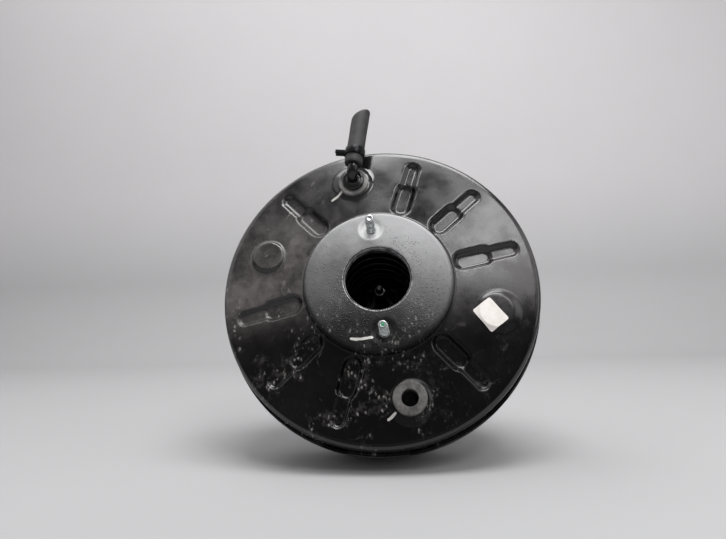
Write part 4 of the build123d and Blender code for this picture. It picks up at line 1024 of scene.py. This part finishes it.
def crimp_tree(finish):
    """Tabs repeated around the rim."""
    tree, given, made = start_tree("crimp_tabs", {
        "Count": "NodeSocketInt", "First Angle": "NodeSocketFloat"})
    places = add_node(tree, "GeometryNodeMeshLine", {}, {
        "Count": given.outputs["Count"], "Offset": (0, 0, 0)})
    step = add_node(tree, "ShaderNodeMath", {"operation": "DIVIDE"}, [-2 * math.pi, given.outputs["Count"]])
    index = add_node(tree, "GeometryNodeInputIndex")
    turn = add_node(tree, "ShaderNodeMath", TIMES, [index, step])
    turn = add_node(tree, "ShaderNodeMath", MINUS, [turn, given.outputs["First Angle"]])
    way = add_node(tree, "ShaderNodeCombineXYZ", {}, {"Y": turn})
    tabs = add_node(tree, "GeometryNodeInstanceOnPoints", {}, {
        "Points": places, "Instance": given.outputs["Geometry"], "Rotation": way})
    real = add_node(tree, "GeometryNodeRealizeInstances", {}, [tabs])
    done = add_node(tree, "GeometryNodeSetMaterial", {}, {"Geometry": real, "Material": finish})
    tree.links.new(done.outputs[0], made)
    return tree


def crimp_tab(rear, sheet):
    """One stretch of the rim, bent over the flange with soft ends."""
    turns = np.linspace(-rear.tab_angle / 2, rear.tab_angle / 2, 13)
    outer, low, high = rear.rim_inside + sheet * 0.6, rear.rim_front - sheet, rear.rim_front
    edge = 0.3 * MM
    # The power keeps a tab's front straight up to its rounded ends, which never close to nothing.
    straight, least = 6, 0.02
    rings = []
    for turn in turns:
        share = abs(turn) / (rear.tab_angle / 2)
        inner = rear.rim_inside - rear.tab_reach * math.sqrt(max(1 - share ** straight, least))
        section = [(inner, low + edge), (inner + edge, low), (outer, low),
                   (outer, high), (inner + edge, high), (inner, high - edge)]
        rings.append([on_axis(radius, turn, forward) for radius, forward in section])
    return outward(skin(rings, capped=True))


class BOOSTER_OT_rear_shell(bpy.types.Operator):
    """Make the rear shell with its neck, stud holes and crimped rim"""
    bl_idname = "booster.rear_shell"
    bl_label = "Rear Shell"

    def execute(self, context):
        scene = context.scene
        rear, sheet, studs = scene.booster_rear, scene.booster_shell.sheet, scene.booster_studs
        skins = []
        for corners, (segments, spacing) in zip(rear_outlines(rear, sheet), REAR_GRIDS):
            outline = filled_in(rounded(corners, spacing / 2), spacing)
            skins.append(skin([on_axis(radius, around(segments), forward) for radius, forward in outline]))
        pad = (-1 * MM, 2 * MM)
        holes = [(place, studs.neck, *pad) for place in bulkhead_places()]
        shell = drilled(skins[0], skins[1], holes)
        values = {"Count": rear.tabs, "First Angle": scene.booster_features.first}
        tabs = grown(crimp_tree(finishes["rear_enamel"]), crimp_tab(rear, sheet), values)
        add_piece("rear_shell_skin", joined([shell, tabs]), "casing", "black_enamel", "rear_enamel",
                  ["rear_shell"])
        return {"FINISHED"}


# ---- studs, rod and nut --------------------------------------------------------------------------
def plain_rings(profile, segments=36):
    """Rings of a turned shank, as X, Z and distance along it, from its (radius, distance along) points."""
    turn = around(segments)
    return [np.stack([size * np.cos(turn), size * np.sin(turn), np.full_like(turn, along)], axis=-1)
            for size, along in profile]


def threaded(radius, pitch, depth, start, tip, chamfer, segments=36, rows_per_turn=8):
    """Rings of a threaded shank from start to tip, whose thread deepens over its first turn."""
    turn = around(segments)
    crest, slope = 0.12, 0.63
    profile = []
    for along in (*np.arange(start, tip, pitch / rows_per_turn), tip):
        share = (along / pitch - turn / (2 * math.pi)) % 1
        flank = np.clip((np.abs(share - 0.5) * 2 - crest) / slope, 0, 1)
        cut = depth * flank * min(1, max(0, (along - start) / pitch))
        profile.append((np.minimum(radius - cut, radius - chamfer + (tip - along)), along))
    return plain_rings(profile, segments)


def stood(rings, middle, forward, way):
    """Put rings on a line parallel to the axis; way is 1 for forward and -1 for backward."""
    x, z, along = np.moveaxis(np.asarray(rings), -1, 0)
    return np.stack([x + middle[0], -(forward + way * along), z + middle[1]], axis=-1)


def stud_mesh(studs, middle, head, face, tip):
    """A headed stud, threaded from just above the sheet, with a drilled centre in its tip."""
    way = 1 if tip > head else -1
    neck, end = abs(face - head), abs(tip - head)
    edge, plain_end, thread_start = 0.5 * MM, neck + 1.5 * MM, neck + 1.6 * MM
    profile = [
        (studs.head - edge, 0), (studs.head, edge), (studs.head, studs.head_height - edge),
        (studs.head - edge, studs.head_height), (studs.neck, studs.head_height), (studs.neck, neck),
        (studs.radius, neck), (studs.radius, plain_end)]
    centre = [(1.9 * MM, end), (1.1 * MM, end - 0.6 * MM)]
    thread = threaded(studs.radius, studs.pitch, studs.depth, thread_start, end, studs.chamfer)
    rings = plain_rings(profile) + thread + plain_rings(centre)
    return outward(skin(stood(rings, middle, head, way), capped=True))


class BOOSTER_OT_studs(bpy.types.Operator):
    """Make the two master cylinder studs and the four bulkhead studs, with their threads"""
    bl_idname = "booster.studs"
    bl_label = "Studs"

    def execute(self, context):
        scene = context.scene
        studs = scene.booster_studs
        head, tip = reach("master_cylinder_studs")
        places = stud_places(scene.booster_features)
        front = [stud_mesh(studs, place, head, studs.front_face, tip) for place in places]
        add_piece("master_cylinder_stud_threads", joined(front), "casing", "zinc_stud",
                  replaced=["master_cylinder_studs"])
        # Radius of the dab of paint in the lower stud's drilled centre, and its depth below the tip.
        dab = ((0.8, 0.62), (1.7, 0.25), (1.5, 0.1), (1.0, 0.03), (0.4, 0.01))
        rings = [on_axis(radius * MM, around(24), tip - depth * MM) for radius, depth in dab]
        rings = np.array(rings) + np.array([places[1].x, 0, places[1].y])
        add_piece("stud_paint_dot", outward(skin(rings, capped=True)), "casing", None, "green_paint")

        tip, head = reach("bulkhead_studs")
        rear = [stud_mesh(studs, place, head, 0.0, tip) for place in bulkhead_places()]
        add_piece("bulkhead_stud_threads", joined(rear), "casing", "zinc_stud", replaced=["bulkhead_studs"])
        return {"FINISHED"}


def hexagon_rings(flats, bore, thickness, segments=96):
    """Closed rings of a chamfered nut with its bore."""
    sector = (around(segments) + math.pi / 6) % (math.pi / 3) - math.pi / 6
    hexagon = flats / 2 / np.cos(sector)
    edge, crown, end_radius = 0.7 * MM, 1.4 * MM, flats / 2 * 0.96
    rows = []
    for along in (*np.linspace(0, crown, 8), *np.linspace(thickness - crown, thickness, 8)):
        chamfer = end_radius + min(along, thickness - along) * math.tan(math.radians(60))
        rows.append((np.minimum(hexagon, chamfer), along))
    rows += [(bore + edge, thickness), (bore, thickness - edge), (bore, edge), (bore + edge, 0)]
    return plain_rings(rows, segments)


class BOOSTER_OT_input_rod(bpy.types.Operator):
    """Make the input rod with its ball end and thread, the lock nut and the clevis"""
    bl_idname = "booster.input_rod"
    bl_label = "Input Rod"

    def execute(self, context):
        rod = context.scene.booster_rod
        end, front = reach("input_rod")
        # The ball runs from just beside its pole to where its neck starts.
        pole, neck = 0.15, math.pi - 0.75
        ball = [(rod.ball * math.sin(turn), rod.ball - rod.ball * math.cos(turn))
                for turn in np.linspace(pole, neck, 14)]
        shoulder = rod.shoulder + front
        total = front - end
        edge, segments = 0.8 * MM, 48
        profile = ball + [
            (rod.ball_neck, ball[-1][1] + 0.6 * MM), (rod.ball_neck, shoulder),
            (rod.radius - edge, shoulder), (rod.radius, shoulder + edge), (rod.radius, total - rod.thread)]
        thread_start, thread_depth, chamfer = total - rod.thread + 0.1 * MM, 0.7 * MM, 0.9 * MM
        thread = threaded(rod.radius, rod.pitch, thread_depth, thread_start, total, chamfer, segments)
        rings = plain_rings(profile, segments) + thread
        shank = outward(skin(stood(rings, (0, 0), front, -1), capped=True))
        add_piece("input_rod_shank", shank, "input_rod", "zinc_stud", replaced=["input_rod"])
        back, face = reach("lock_nut")
        clearance = 0.05 * MM
        nut = hexagon_rings(rod.nut_flats, rod.radius + clearance, face - back)
        hexagon = outward(skin(stood(nut, (0, 0), back, 1), closed=True))
        add_piece("lock_nut_hexagon", hexagon, "input_rod", "zinc_stud", replaced=["lock_nut"])
        fork = softened("clevis", 0.5 * MM)
        add_piece("clevis_fork", fork, "input_rod", "clevis_steel", replaced=["clevis"])
        return {"FINISHED"}


# ---- springs -------------------------------------------------------------------------------------
def spring_tree(finish):
    """A compression spring wound from wire, its end turns closed, that grows forward from its place."""
    tree, given, made = start_tree("wound_spring", {
        "Radius": "NodeSocketFloat", "Wire": "NodeSocketFloat", "Height": "NodeSocketFloat",
        "Turns": "NodeSocketFloat", "Place": "NodeSocketVector"})
    radius, wire, height, turns, place = given.outputs[1:6]
    points = add_node(tree, "ShaderNodeMath", TIMES, [turns, 40])
    line = add_node(tree, "GeometryNodeCurvePrimitiveLine", {}, {"End": (0, 0, 1)})
    wound = add_node(tree, "GeometryNodeResampleCurve", {}, {"Curve": line, "Count": points})
    share = add_node(tree, "GeometryNodeSplineParameter").outputs["Factor"]
    full = add_node(tree, "ShaderNodeMath", TIMES, [turns, 2 * math.pi])
    turn = add_node(tree, "ShaderNodeMath", TIMES, [full, share])
    cosine = add_node(tree, "ShaderNodeMath", {"operation": "COSINE"}, [turn])
    sine = add_node(tree, "ShaderNodeMath", {"operation": "SINE"}, [turn])
    across = add_node(tree, "ShaderNodeMath", TIMES, [cosine, radius])
    up = add_node(tree, "ShaderNodeMath", TIMES, [sine, radius])
    # Closed turns climb by one wire each, and the rest of the height is added in the middle of the spring.
    closed = add_node(tree, "ShaderNodeMath", TIMES, [wire, turns])
    solid = add_node(tree, "ShaderNodeMath", PLUS, [closed, wire])
    spare = add_node(tree, "ShaderNodeMath", MINUS, [height, solid])
    spread = add_node(tree, "ShaderNodeMapRange", SOFT, {"Value": share, "To Max": spare})
    half = add_node(tree, "ShaderNodeMath", TIMES, [wire, 0.5])
    climb = add_node(tree, "ShaderNodeMath", TIMES_PLUS, [closed, share, half])
    climb = add_node(tree, "ShaderNodeMath", PLUS, [climb, spread])
    forward = add_node(tree, "ShaderNodeMath", TIMES, [climb, -1])
    point = add_node(tree, "ShaderNodeCombineXYZ", {}, [across, forward, up])
    point = add_node(tree, "ShaderNodeVectorMath", PLUS, [point, place])
    bent = add_node(tree, "GeometryNodeSetPosition", {}, {"Geometry": wound, "Position": point})
    section = add_node(tree, "GeometryNodeCurvePrimitiveCircle", {}, {"Resolution": 14, "Radius": half})
    coil = add_node(tree, "GeometryNodeCurveToMesh", {}, {
        "Curve": bent, "Profile Curve": section, "Fill Caps": True})
    real = add_node(tree, "GeometryNodeRealizeInstances", {}, [coil])
    done = add_node(tree, "GeometryNodeSetMaterial", {}, {"Geometry": real, "Material": finish})
    tree.links.new(done.outputs[0], made)
    return tree


class BOOSTER_OT_springs(bpy.types.Operator):
    """Wind the return spring, the input rod's spring, the poppet's spring and the check valve's spring"""
    bl_idname = "booster.springs"
    bl_label = "Springs"

    def execute(self, context):
        springs = context.scene.booster_springs
        tree = spring_tree(finishes["spring_steel"])
        for node, size, body, joint in (
                ("return_spring", "return", "casing", "piston_stroke"),
                ("input_spring", "input", "power_piston", "air_valve_travel"),
                ("poppet_spring", "poppet", "power_piston", None),
                ("check_valve_spring", "disc", "check_valve", "check_disc_lift")):
            wire, turns = getattr(springs, size + "_wire"), getattr(springs, size + "_turns")
            back, front = reach(node)
            low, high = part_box(node)
            x, z = middle_of(node)
            values = {"Radius": (high.x - low.x - wire) / 2, "Wire": wire, "Height": front - back,
                      "Turns": turns, "Place": (x, -back, z)}
            mesh = grown(tree, bpy.data.meshes.new(node), values)
            coil = add_piece(node + "_coil", outward(mesh), body, "spring_steel", replaced=[node])
            if joint:
                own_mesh(coil)
        return {"FINISHED"}


# ---- rubber --------------------------------------------------------------------------------------
def boot_outline(boot, rear, tail_end):
    """Corners of the boot's outside, from the collar on the neck back to the tail."""
    big, small = rear.neck + boot.gap + boot.rubber, boot.tube + boot.gap + boot.rubber
    start, end = -rear.neck_length, tail_end + boot.tail
    corners = []
    for step in range(1, 2 * boot.folds):
        share = step / (2 * boot.folds)
        middle = big + (small - big) * share
        peak = step % 2
        side = boot.fold_depth / 2 if peak else -boot.fold_depth / 2 * (1 - share)
        rounding = 1.9 * MM if peak else 0.8 * MM
        corners.append((middle + side, start + (end - start) * share, rounding))
    collar = [(big, start + boot.collar, 0), (big, start, 0)]
    pleats = [(big, start, 0), *corners, (small, end, 0)]
    # The tail moves with the valve body, so it stays clear of the pleats.
    clearance = 0.1 * MM
    tail = [(small, end - clearance, 0), (small, tail_end, 0)]
    return collar, pleats, tail


def clasped(corners, rubber, way):
    """A collar's closed section with a bead around its open end."""
    (outer, first, _), (_, last, _) = corners
    inner = outer - rubber
    open_end, inside_end = (first, last) if way > 0 else (last, first)
    bead, bead_end = outer + 0.9 * MM, open_end - way * 2.2 * MM
    return rounded([
        (inner, open_end, 0.4 * MM), (bead, open_end, 0.7 * MM), (bead, bead_end, 0.7 * MM),
        (outer, bead_end - way * 0.8 * MM, 0.5 * MM), (outer, inside_end, 0), (inner, inside_end, 0)],
        spacing=0.3 * MM, closed=True)


class BOOSTER_OT_boot(bpy.types.Operator):
    """Make the dust boot: its collar, its pleats and its tail"""
    bl_idname = "booster.boot"
    bl_label = "Dust Boot"

    def execute(self, context):
        scene = context.scene
        boot, rear = scene.booster_boot, scene.booster_rear
        collar, pleats, tail = boot_outline(boot, rear, reach("dust_boot")[0])
        band = lathe(clasped(collar, boot.rubber, way=1), segments=128)
        add_piece("dust_boot_collar", band, "casing", "boot_rubber")
        outline = filled_in(rounded(pleats, spacing=0.5 * MM), spacing=1.5 * MM)
        folded = walled(outline, boot.rubber)
        folds = add_piece("dust_boot_pleats", lathe(folded, segments=160), "casing", "boot_rubber",
                          replaced=["dust_boot"])
        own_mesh(folds)
        band = lathe(clasped(tail, boot.rubber, way=-1), segments=128)
        add_piece("dust_boot_tail", band, "power_piston", "boot_rubber")
        return {"FINISHED"}


class BOOSTER_OT_diaphragm(bpy.types.Operator):
    """Make the rolling diaphragm from its node's shape, with its edges slightly rounded"""
    bl_idname = "booster.diaphragm"
    bl_label = "Diaphragm"

    def execute(self, context):
        web = softened("diaphragm", 0.2 * MM)
        rubber = add_piece("rolling_diaphragm", web, "casing", "diaphragm_rubber", replaced=["diaphragm"])
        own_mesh(rubber)
        return {"FINISHED"}


def grommet_outline(valve, back, front, bore):
    """Closed section of a grommet: flange outside, groove for the sheet, taper inside."""
    groove, groove_width, edge = 9.9 * MM, 1.5 * MM, valve.edge
    groove_front = front - valve.grommet_top
    groove_back = groove_front - groove_width
    return rounded([
        (bore, back, 0.4 * MM), (valve.grommet_inside - edge, back, 0.5 * MM),
        (valve.grommet_inside, groove_back, 0.4 * MM), (groove, groove_back, 0.2 * MM),
        (groove, groove_front, 0.2 * MM), (valve.grommet, groove_front, 0.4 * MM),
        (valve.grommet, front, edge), (bore, front, 0.5 * MM)], spacing=0.25 * MM, closed=True)


def bent_rings(path, side, segments=48):
    """Rings around a bent middle line of (centre, way, radius); side is square to the bend's plane."""
    turn = around(segments)[:, None]
    return [np.array(centre) + radius * (np.cos(turn) * side + np.sin(turn) * np.cross(side, way))
            for centre, way, radius in path]


class BOOSTER_OT_ports(bpy.types.Operator):
    """Make both grommets, the check valve's elbow, the cut hose and its spring clamp"""
    bl_idname = "booster.ports"
    bl_label = "Ports and Hose"

    def execute(self, context):
        valve = context.scene.booster_valve
        # The check valve's grommet takes the lighter copy of the rubber, a painted highlight.
        for node, bore, finish in (
                ("check_valve_grommet", valve.stem_bore, "lit_grommet"),
                ("sensor_grommet", valve.sensor_bore, "grommet_rubber")):
            outline = grommet_outline(valve, *reach(node), bore)
            rubber = lathe(outline, segments=96, middle=middle_of(node))
            add_piece(node + "_rubber", rubber, "casing", "grommet_rubber", finish, [node])
        self.elbow(valve)
        self.hose(valve)
        band = softened("hose_clamp", 0.18 * MM)
        add_piece("hose_clamp_band", band, "check_valve", "clamp_steel", replaced=["hose_clamp"])
        return {"FINISHED"}

    def spigot_line(self):
        """Where the spigot's axis meets the valve's, and the way that it points."""
        end = mount("vacuum_hose_end")
        way = Vector(end["axis"]).normalized()
        x, z = middle_of("check_valve_seat")
        return Vector((x, end["pos_m"][1], z)), way

    def elbow(self, valve):
        """The cap on the grommet, its neck and the ribbed spigot, outside first and then the bore."""
        corner, way = self.spigot_line()
        ahead = Vector((0, -1, 0))
        base = reach("check_valve_grommet")[1] + 0.1 * MM
        top, bend_start = base + 3.4 * MM, -corner.y - valve.bend
        flare = 2.2 * MM

        def straight(radius, forward):
            """A ring on the valve's axis."""
            return (corner.x, -forward, corner.z), ahead, radius

        def bent(radius, turn):
            """A ring in the bend, this far round it."""
            rise, out = valve.bend * math.sin(turn), valve.bend * (1 - math.cos(turn))
            centre = Vector((corner.x, -(bend_start + rise), corner.z)) + way * out
            return centre, ahead * math.cos(turn) + way * math.sin(turn), radius

        def along(radius, out):
            """A ring on the spigot, this far from the valve's axis."""
            return corner + way * out, way, radius

        path = [
            straight(valve.cap - 0.3 * MM, base), straight(valve.cap, base + 0.4 * MM),
            straight(valve.cap, top - 1.2 * MM), straight(valve.cap - 0.35 * MM, top - 0.4 * MM),
            straight(valve.cap - 1.2 * MM, top)]
        path += [straight(valve.neck + flare * (1 - math.sin(turn)), top + flare * (1 - math.cos(turn)))
                 for turn in np.linspace(0.1, math.pi / 2, 6)]
        path += [bent(valve.neck, turn) for turn in np.linspace(0, math.pi / 2, 13)]
        # Millimetres from the valve's axis to the step down to the spigot and to its two barbs.
        barb, tip, bore_start = valve.spigot + 0.25 * MM, valve.spigot - 0.4 * MM, 20 * MM
        path += [along(radius, out * MM) for out, radius in (
            (9.8, valve.neck), (9.9, valve.spigot), (19, valve.spigot), (19.1, barb), (22, tip),
            (34.9, valve.spigot), (35, barb))]
        path += [along(tip, valve.spigot_reach), along(valve.flow, valve.spigot_reach),
                 along(valve.flow, bore_start)]
        path += [bent(valve.flow, turn) for turn in np.linspace(math.pi / 2, 0, 9)]
        path.append(straight(valve.flow, base))
        moulding = outward(skin(bent_rings(path, np.cross(ahead, way)), closed=True))
        add_piece("check_valve_elbow_moulding", moulding, "check_valve", "valve_plastic",
                  replaced=["check_valve_elbow"])

    def hose(self, valve):
        """The hose, slightly wavy, with rounded ends, the far one cut on the slant, and its bore."""
        corner, way = map(np.array, self.spigot_line())
        right, up = np.array((way[2], 0, -way[0])), np.array((0, -1, 0))
        turn = around(64)[:, None]
        wave, waves, end_rounding = 0.12 * MM, 9, 0.5 * MM

        def ring(radius, out):
            """A ring this far along the hose, or with a distance for each of its points."""
            aside = radius * (np.cos(turn) * right + np.sin(turn) * up)
            return corner + (valve.hose_start + out) * way + aside

        def slanted(radius, share):
            """A ring at a share of the hose's length, which differs around it."""
            return ring(radius, share * (valve.hose_length + radius * np.cos(turn) * math.tan(valve.cut)))

        rings = []
        for share in np.linspace(0, 1, 40):
            radius = valve.hose + wave * math.sin(share * waves)
            rings.append(slanted(radius - (end_rounding if share in (0, 1) else 0), share))
        rings += [slanted(valve.hose_bore + 0.4 * MM, 1.0), slanted(valve.hose_bore, 0.992),
                  ring(valve.hose_bore, valve.hose_wide), ring(valve.hose_stretched, valve.hose_wide),
                  ring(valve.hose_stretched, 0.0)]
        stub = outward(skin(rings, closed=True))
        add_piece("vacuum_hose_stub", stub, "check_valve", "hose_rubber", replaced=["hose_stub"])


# ---- pushrod -------------------------------------------------------------------------------------
class BOOSTER_OT_pushrod(bpy.types.Operator):
    """Round the edges of the output pushrod, its adjuster, the hub's cup and the filter cap"""
    bl_idname = "booster.pushrod"
    bl_label = "Pushrod and Hub"

    def execute(self, context):
        for node, name, slot, finish, edge in (
                ("output_pushrod", "output_pushrod_shank", "rod_steel", "pushrod_steel", 0.4),
                ("pushrod_adjuster", "pushrod_adjuster_screw", "rod_steel", "adjuster_steel", 0.25),
                ("pushrod_retainer", "pushrod_retainer_cup", "dish_steel", "pushrod_steel", 0.3),
                ("valve_body", "valve_body_moulding", "phenolic", "phenolic", 0.4),
                ("filter_cap", "filter_cap_ring", "cap_plastic", "cap_plastic", 0.3)):
            add_piece(name, softened(node, edge * MM), "power_piston", slot, finish, [node])
        return {"FINISHED"}


# ---- label and paint marks -----------------------------------------------------------------------
def surface_height(scene, x, z):
    """How far forward the front shell's surface is, beside the boss or on it."""
    shell, features = scene.booster_shell, scene.booster_features
    radius, turn = np.hypot(x, z), np.arctan2(z, x)
    slope = shell.boss_fall / (shell.boss - shell.flat)
    on_boss = shell.face - np.maximum(radius - shell.flat, 0) * slope
    plain = np.where(radius < shell.boss, on_boss, cone_height(shell, radius))
    return pressed(shell, features, radius, turn, plain)


def draped(scene, x, z, lift, thickness):
    """A thin closed sheet that lies on the front shell at a grid of places, and bridges its narrow dips."""
    bridge = 1.6 * MM
    around_it = [surface_height(scene, x + aside, z + above)
                 for aside in (-bridge, 0, bridge) for above in (-bridge, 0, bridge)]
    height = np.maximum(np.mean(around_it, axis=0), surface_height(scene, x, z)) + lift
    top = np.stack([x, -(height + thickness), z], axis=-1)
    base = np.stack([x, -height, z], axis=-1)
    rows, columns = x.shape
    place = np.arange(rows * columns).reshape(rows, columns)
    quads = np.stack([place[:-1, :-1], place[1:, :-1], place[1:, 1:], place[:-1, 1:]], axis=-1)
    quads = quads.reshape(-1, 4)
    rim = [*place[0, :-1], *place[:-1, -1], *place[-1, :0:-1], *place[:0:-1, 0]]
    count = rows * columns
    faces = quads.tolist() + (quads[:, ::-1] + count).tolist()
    faces += [(a, b, b + count, a + count) for a, b in zip(rim, rim[1:] + rim[:1])]
    mesh = bpy.data.meshes.new("draped")
    points = np.concatenate([top.reshape(-1, 3), base.reshape(-1, 3)]).tolist()
    mesh.from_pydata(points, [], [[int(corner) for corner in face] for face in faces])
    return outward(mesh)


class BOOSTER_OT_marks(bpy.types.Operator):
    """Lay the bare label and the assembly line's paint strokes on the front shell"""
    bl_idname = "booster.marks"
    bl_label = "Label and Marks"

    # Ends and bends of the paint strokes, in millimetres across and up from the axis.
    strokes = (
        ((-23.6, -53.4), (-19.0, -54.2), (-14.0, -54.1), (-3.9, -52.7)),
        ((6.1, -118.7), (9.3, -116.4), (13.4, -112.5)),
        ((-43.6, 85.0), (-38.6, 89.2), (-33.3, 94.5)))

    def execute(self, context):
        scene = context.scene
        marks = scene.booster_marks
        half_length, half_width, corner = marks.label_length / 2, marks.label_width / 2, marks.label_corner
        down = np.linspace(-1, 1, 33)
        beyond = np.maximum(np.abs(down) * half_width - (half_width - corner), 0)
        reach_out = half_length - corner + np.sqrt(np.maximum(corner ** 2 - beyond ** 2, 0))
        along = reach_out[:, None] * np.linspace(-1, 1, 41)[None, :]
        across = np.broadcast_to((down * half_width)[:, None], along.shape)
        cosine, sine = math.cos(marks.label_turn), math.sin(marks.label_turn)
        x = marks.label_x + along * cosine - across * sine
        z = marks.label_z + along * sine + across * cosine
        # One corner of the label has come loose.
        corner_share = (along / half_length + across / half_width - 1.25) / 0.75
        lift = 0.03 * MM + 0.5 * MM * soft_step(corner_share)
        add_piece("bare_label", draped(scene, x, z, lift, marks.film), "casing", None, "label_film")
        lift, thickness = 0.01 * MM, 0.12 * MM
        for number, points in enumerate(self.strokes, 1):
            stroke = draped(scene, *self.stroke(points, marks.stroke_width), lift, thickness)
            add_piece(f"paint_stroke_{number}", stroke, "casing", None, "white_paint")
        return {"FINISHED"}

    def stroke(self, points, width):
        """Places across a stroke that is rounded at both ends."""
        points = np.array(points) * MM
        ends = np.concatenate([[0], np.cumsum(np.linalg.norm(np.diff(points, axis=0), axis=1))])
        share = np.linspace(0, ends[-1], 40)
        middle = np.stack([np.interp(share, ends, points[:, side]) for side in (0, 1)], axis=-1)
        way = np.gradient(middle, axis=0)
        way /= np.linalg.norm(way, axis=1)[:, None]
        half, least, wobble = width / 2, 0.12, 0.06
        gap = np.minimum(share, ends[-1] - share)
        reach_out = np.sqrt(np.maximum(half ** 2 - np.maximum(half - gap, 0) ** 2, (least * half) ** 2))
        reach_out *= 1 - wobble * np.sin(share / MM * 0.9)
        sides = np.linspace(-1, 1, 9)[None, :] * reach_out[:, None]
        return middle[:, :1] - way[:, 1:] * sides, middle[:, 1:] + way[:, :1] * sides


# ---- stage ---------------------------------------------------------------------------------------
def tilted(stage, across, back, up):
    """A point given across, back and up from the floor under the booster."""
    lean = stage.lean
    foot = Vector((0, math.sin(lean), -math.cos(lean))) * stage.floor
    return foot + Vector((across, back * math.cos(lean) - up * math.sin(lean),
                          back * math.sin(lean) + up * math.cos(lean)))


def sweep_mesh(stage):
    """Floor that curves up into a backdrop."""
    wall, radius, reach_out, height = 0.85, 0.2, 6.0, 3.0
    section = [(-reach_out, 0.0)]
    for turn in np.linspace(0, math.pi / 2, 17):
        section.append((wall - radius + radius * math.sin(turn), radius - radius * math.cos(turn)))
    section.append((wall, height))
    points = [tilted(stage, side, back, up) for back, up in section for side in (-reach_out, reach_out)]
    faces = [(2 * place, 2 * place + 1, 2 * place + 3, 2 * place + 2) for place in range(len(section) - 1)]
    mesh = bpy.data.meshes.new("sweep")
    mesh.from_pydata(points, [], faces)
    mesh.shade_smooth()
    return mesh


def studio_paper(stage):
    """Matt studio paper: pale grey on the floor, a little paler up the wall, with the faintest mottle."""
    material, tree, place = start_finish("studio_paper")
    up = (0, -math.sin(stage.lean), math.cos(stage.lean))
    height = add_node(tree, "ShaderNodeVectorMath", DOT, [place, up])
    risen = add_node(tree, "ShaderNodeMapRange", SOFT, {
        "Value": height, "From Min": -stage.floor, "From Max": 0.35})
    paper = add_node(tree, "ShaderNodeMix", COLOURS, [
        risen, tuple(stage.floor_tone), tuple(stage.wall_tone)])
    mottle = add_node(tree, "ShaderNodeTexNoise", {}, {
        "Vector": place, "Scale": per_size(160), "Detail": 4})
    share = add_node(tree, "ShaderNodeMath", TIMES, [mottle, 0.08])
    tone = add_node(tree, "ShaderNodeMix", COLOURS, [share, paper, linear("#8E8E8F")])
    end_finish(tree, add_node(tree, "ShaderNodeBsdfPrincipled", {}, {"Base Color": tone, "Roughness": 0.9}))
    return material


def soft_light(name, place, size, watts):
    """A rectangle of soft light, aimed at the middle of the booster."""
    light = bpy.data.lights.new(name, "AREA")
    light.shape = "RECTANGLE"
    light.size, light.size_y = size
    light.energy = watts
    lamp = carried(name, light)
    lamp.location = place
    middle = Vector((0, -0.05, 0))
    lamp.rotation_euler = (middle - place).to_track_quat("-Z", "Y").to_euler()


class BOOSTER_OT_stage(bpy.types.Operator):
    """Make the floor, the soft lights, the surroundings and the camera"""
    bl_idname = "booster.stage"
    bl_label = "Stage"

    def execute(self, context):
        scene, stage = context.scene, context.scene.booster_stage
        sweep = carried("sweep", sweep_mesh(stage))
        sweep.data.materials.append(studio_paper(stage))
        for name, place, size, watts in (
                ("overhead", (0.15, -0.27, 1.42), (0.9, 0.55), stage.key),
                ("right", (0.55, -0.9, 1.22), (0.5, 0.45), stage.side),
                ("far_right", (1.45, -0.3, 0.85), (1.3, 1.2), stage.fill),
                ("far_left", (-1.2, -0.1, 1.2), (1.5, 1.5), stage.fill),
                ("rear", (-0.6, 0.5, 1.75), (0.9, 0.9), stage.back)):
            soft_light(name, tilted(stage, *place), size, watts)
        scene.world = bpy.data.worlds.new("surroundings")
        scene.world.use_nodes = True
        backdrop = scene.world.node_tree.nodes["Background"]
        backdrop.inputs["Color"].default_value = linear("#D8D8DA")
        backdrop.inputs["Strength"].default_value = stage.world
        camera = carried("camera", bpy.data.cameras.new("camera"))
        camera.location = (0.0278, -0.5495, -0.1783)
        camera.rotation_euler = (math.radians(112.8), 0, math.radians(5.2))
        camera.data.lens = stage.lens
        scene.camera = camera
        scene.view_settings.view_transform = "Standard"
        return {"FINISHED"}


# ---- add-on --------------------------------------------------------------------------------------
OPERATORS = (
    BOOSTER_OT_finishes, BOOSTER_OT_stage, BOOSTER_OT_front_shell, BOOSTER_OT_rear_shell, BOOSTER_OT_studs,
    BOOSTER_OT_input_rod, BOOSTER_OT_springs, BOOSTER_OT_boot, BOOSTER_OT_diaphragm, BOOSTER_OT_ports,
    BOOSTER_OT_pushrod, BOOSTER_OT_marks)
SETTINGS = {
    "booster_shell": FrontShellSettings,
    "booster_features": PressedFeatureSettings,
    "booster_rear": RearShellSettings,
    "booster_studs": StudSettings,
    "booster_springs": SpringSettings,
    "booster_boot": BootSettings,
    "booster_valve": ValveSettings,
    "booster_rod": RodSettings,
    "booster_marks": MarkSettings,
    "booster_stage": StageSettings,
}


class BOOSTER_PT_pieces(bpy.types.Panel):
    """Lists the steps that dress the booster"""
    bl_idname = "BOOSTER_PT_pieces"
    bl_label = "Brake Booster"
    bl_space_type = "VIEW_3D"
    bl_region_type = "UI"
    bl_category = "Booster"

    def draw(self, context):
        for step in OPERATORS:
            self.layout.operator(step.bl_idname)


def register():
    for settings in SETTINGS.values():
        bpy.utils.register_class(settings)
    for step in (*OPERATORS, BOOSTER_PT_pieces):
        bpy.utils.register_class(step)
    for name, settings in SETTINGS.items():
        setattr(bpy.types.Scene, name, PointerProperty(type=settings))


def unregister():
    for name in SETTINGS:
        delattr(bpy.types.Scene, name)
    for step in (BOOSTER_PT_pieces, *reversed(OPERATORS), *SETTINGS.values()):
        bpy.utils.unregister_class(step)


def main():
    register()
    for step in OPERATORS:
        group, name = step.bl_idname.split(".")
        getattr(getattr(bpy.ops, group), name)()


if __name__ == "__main__":
    main()
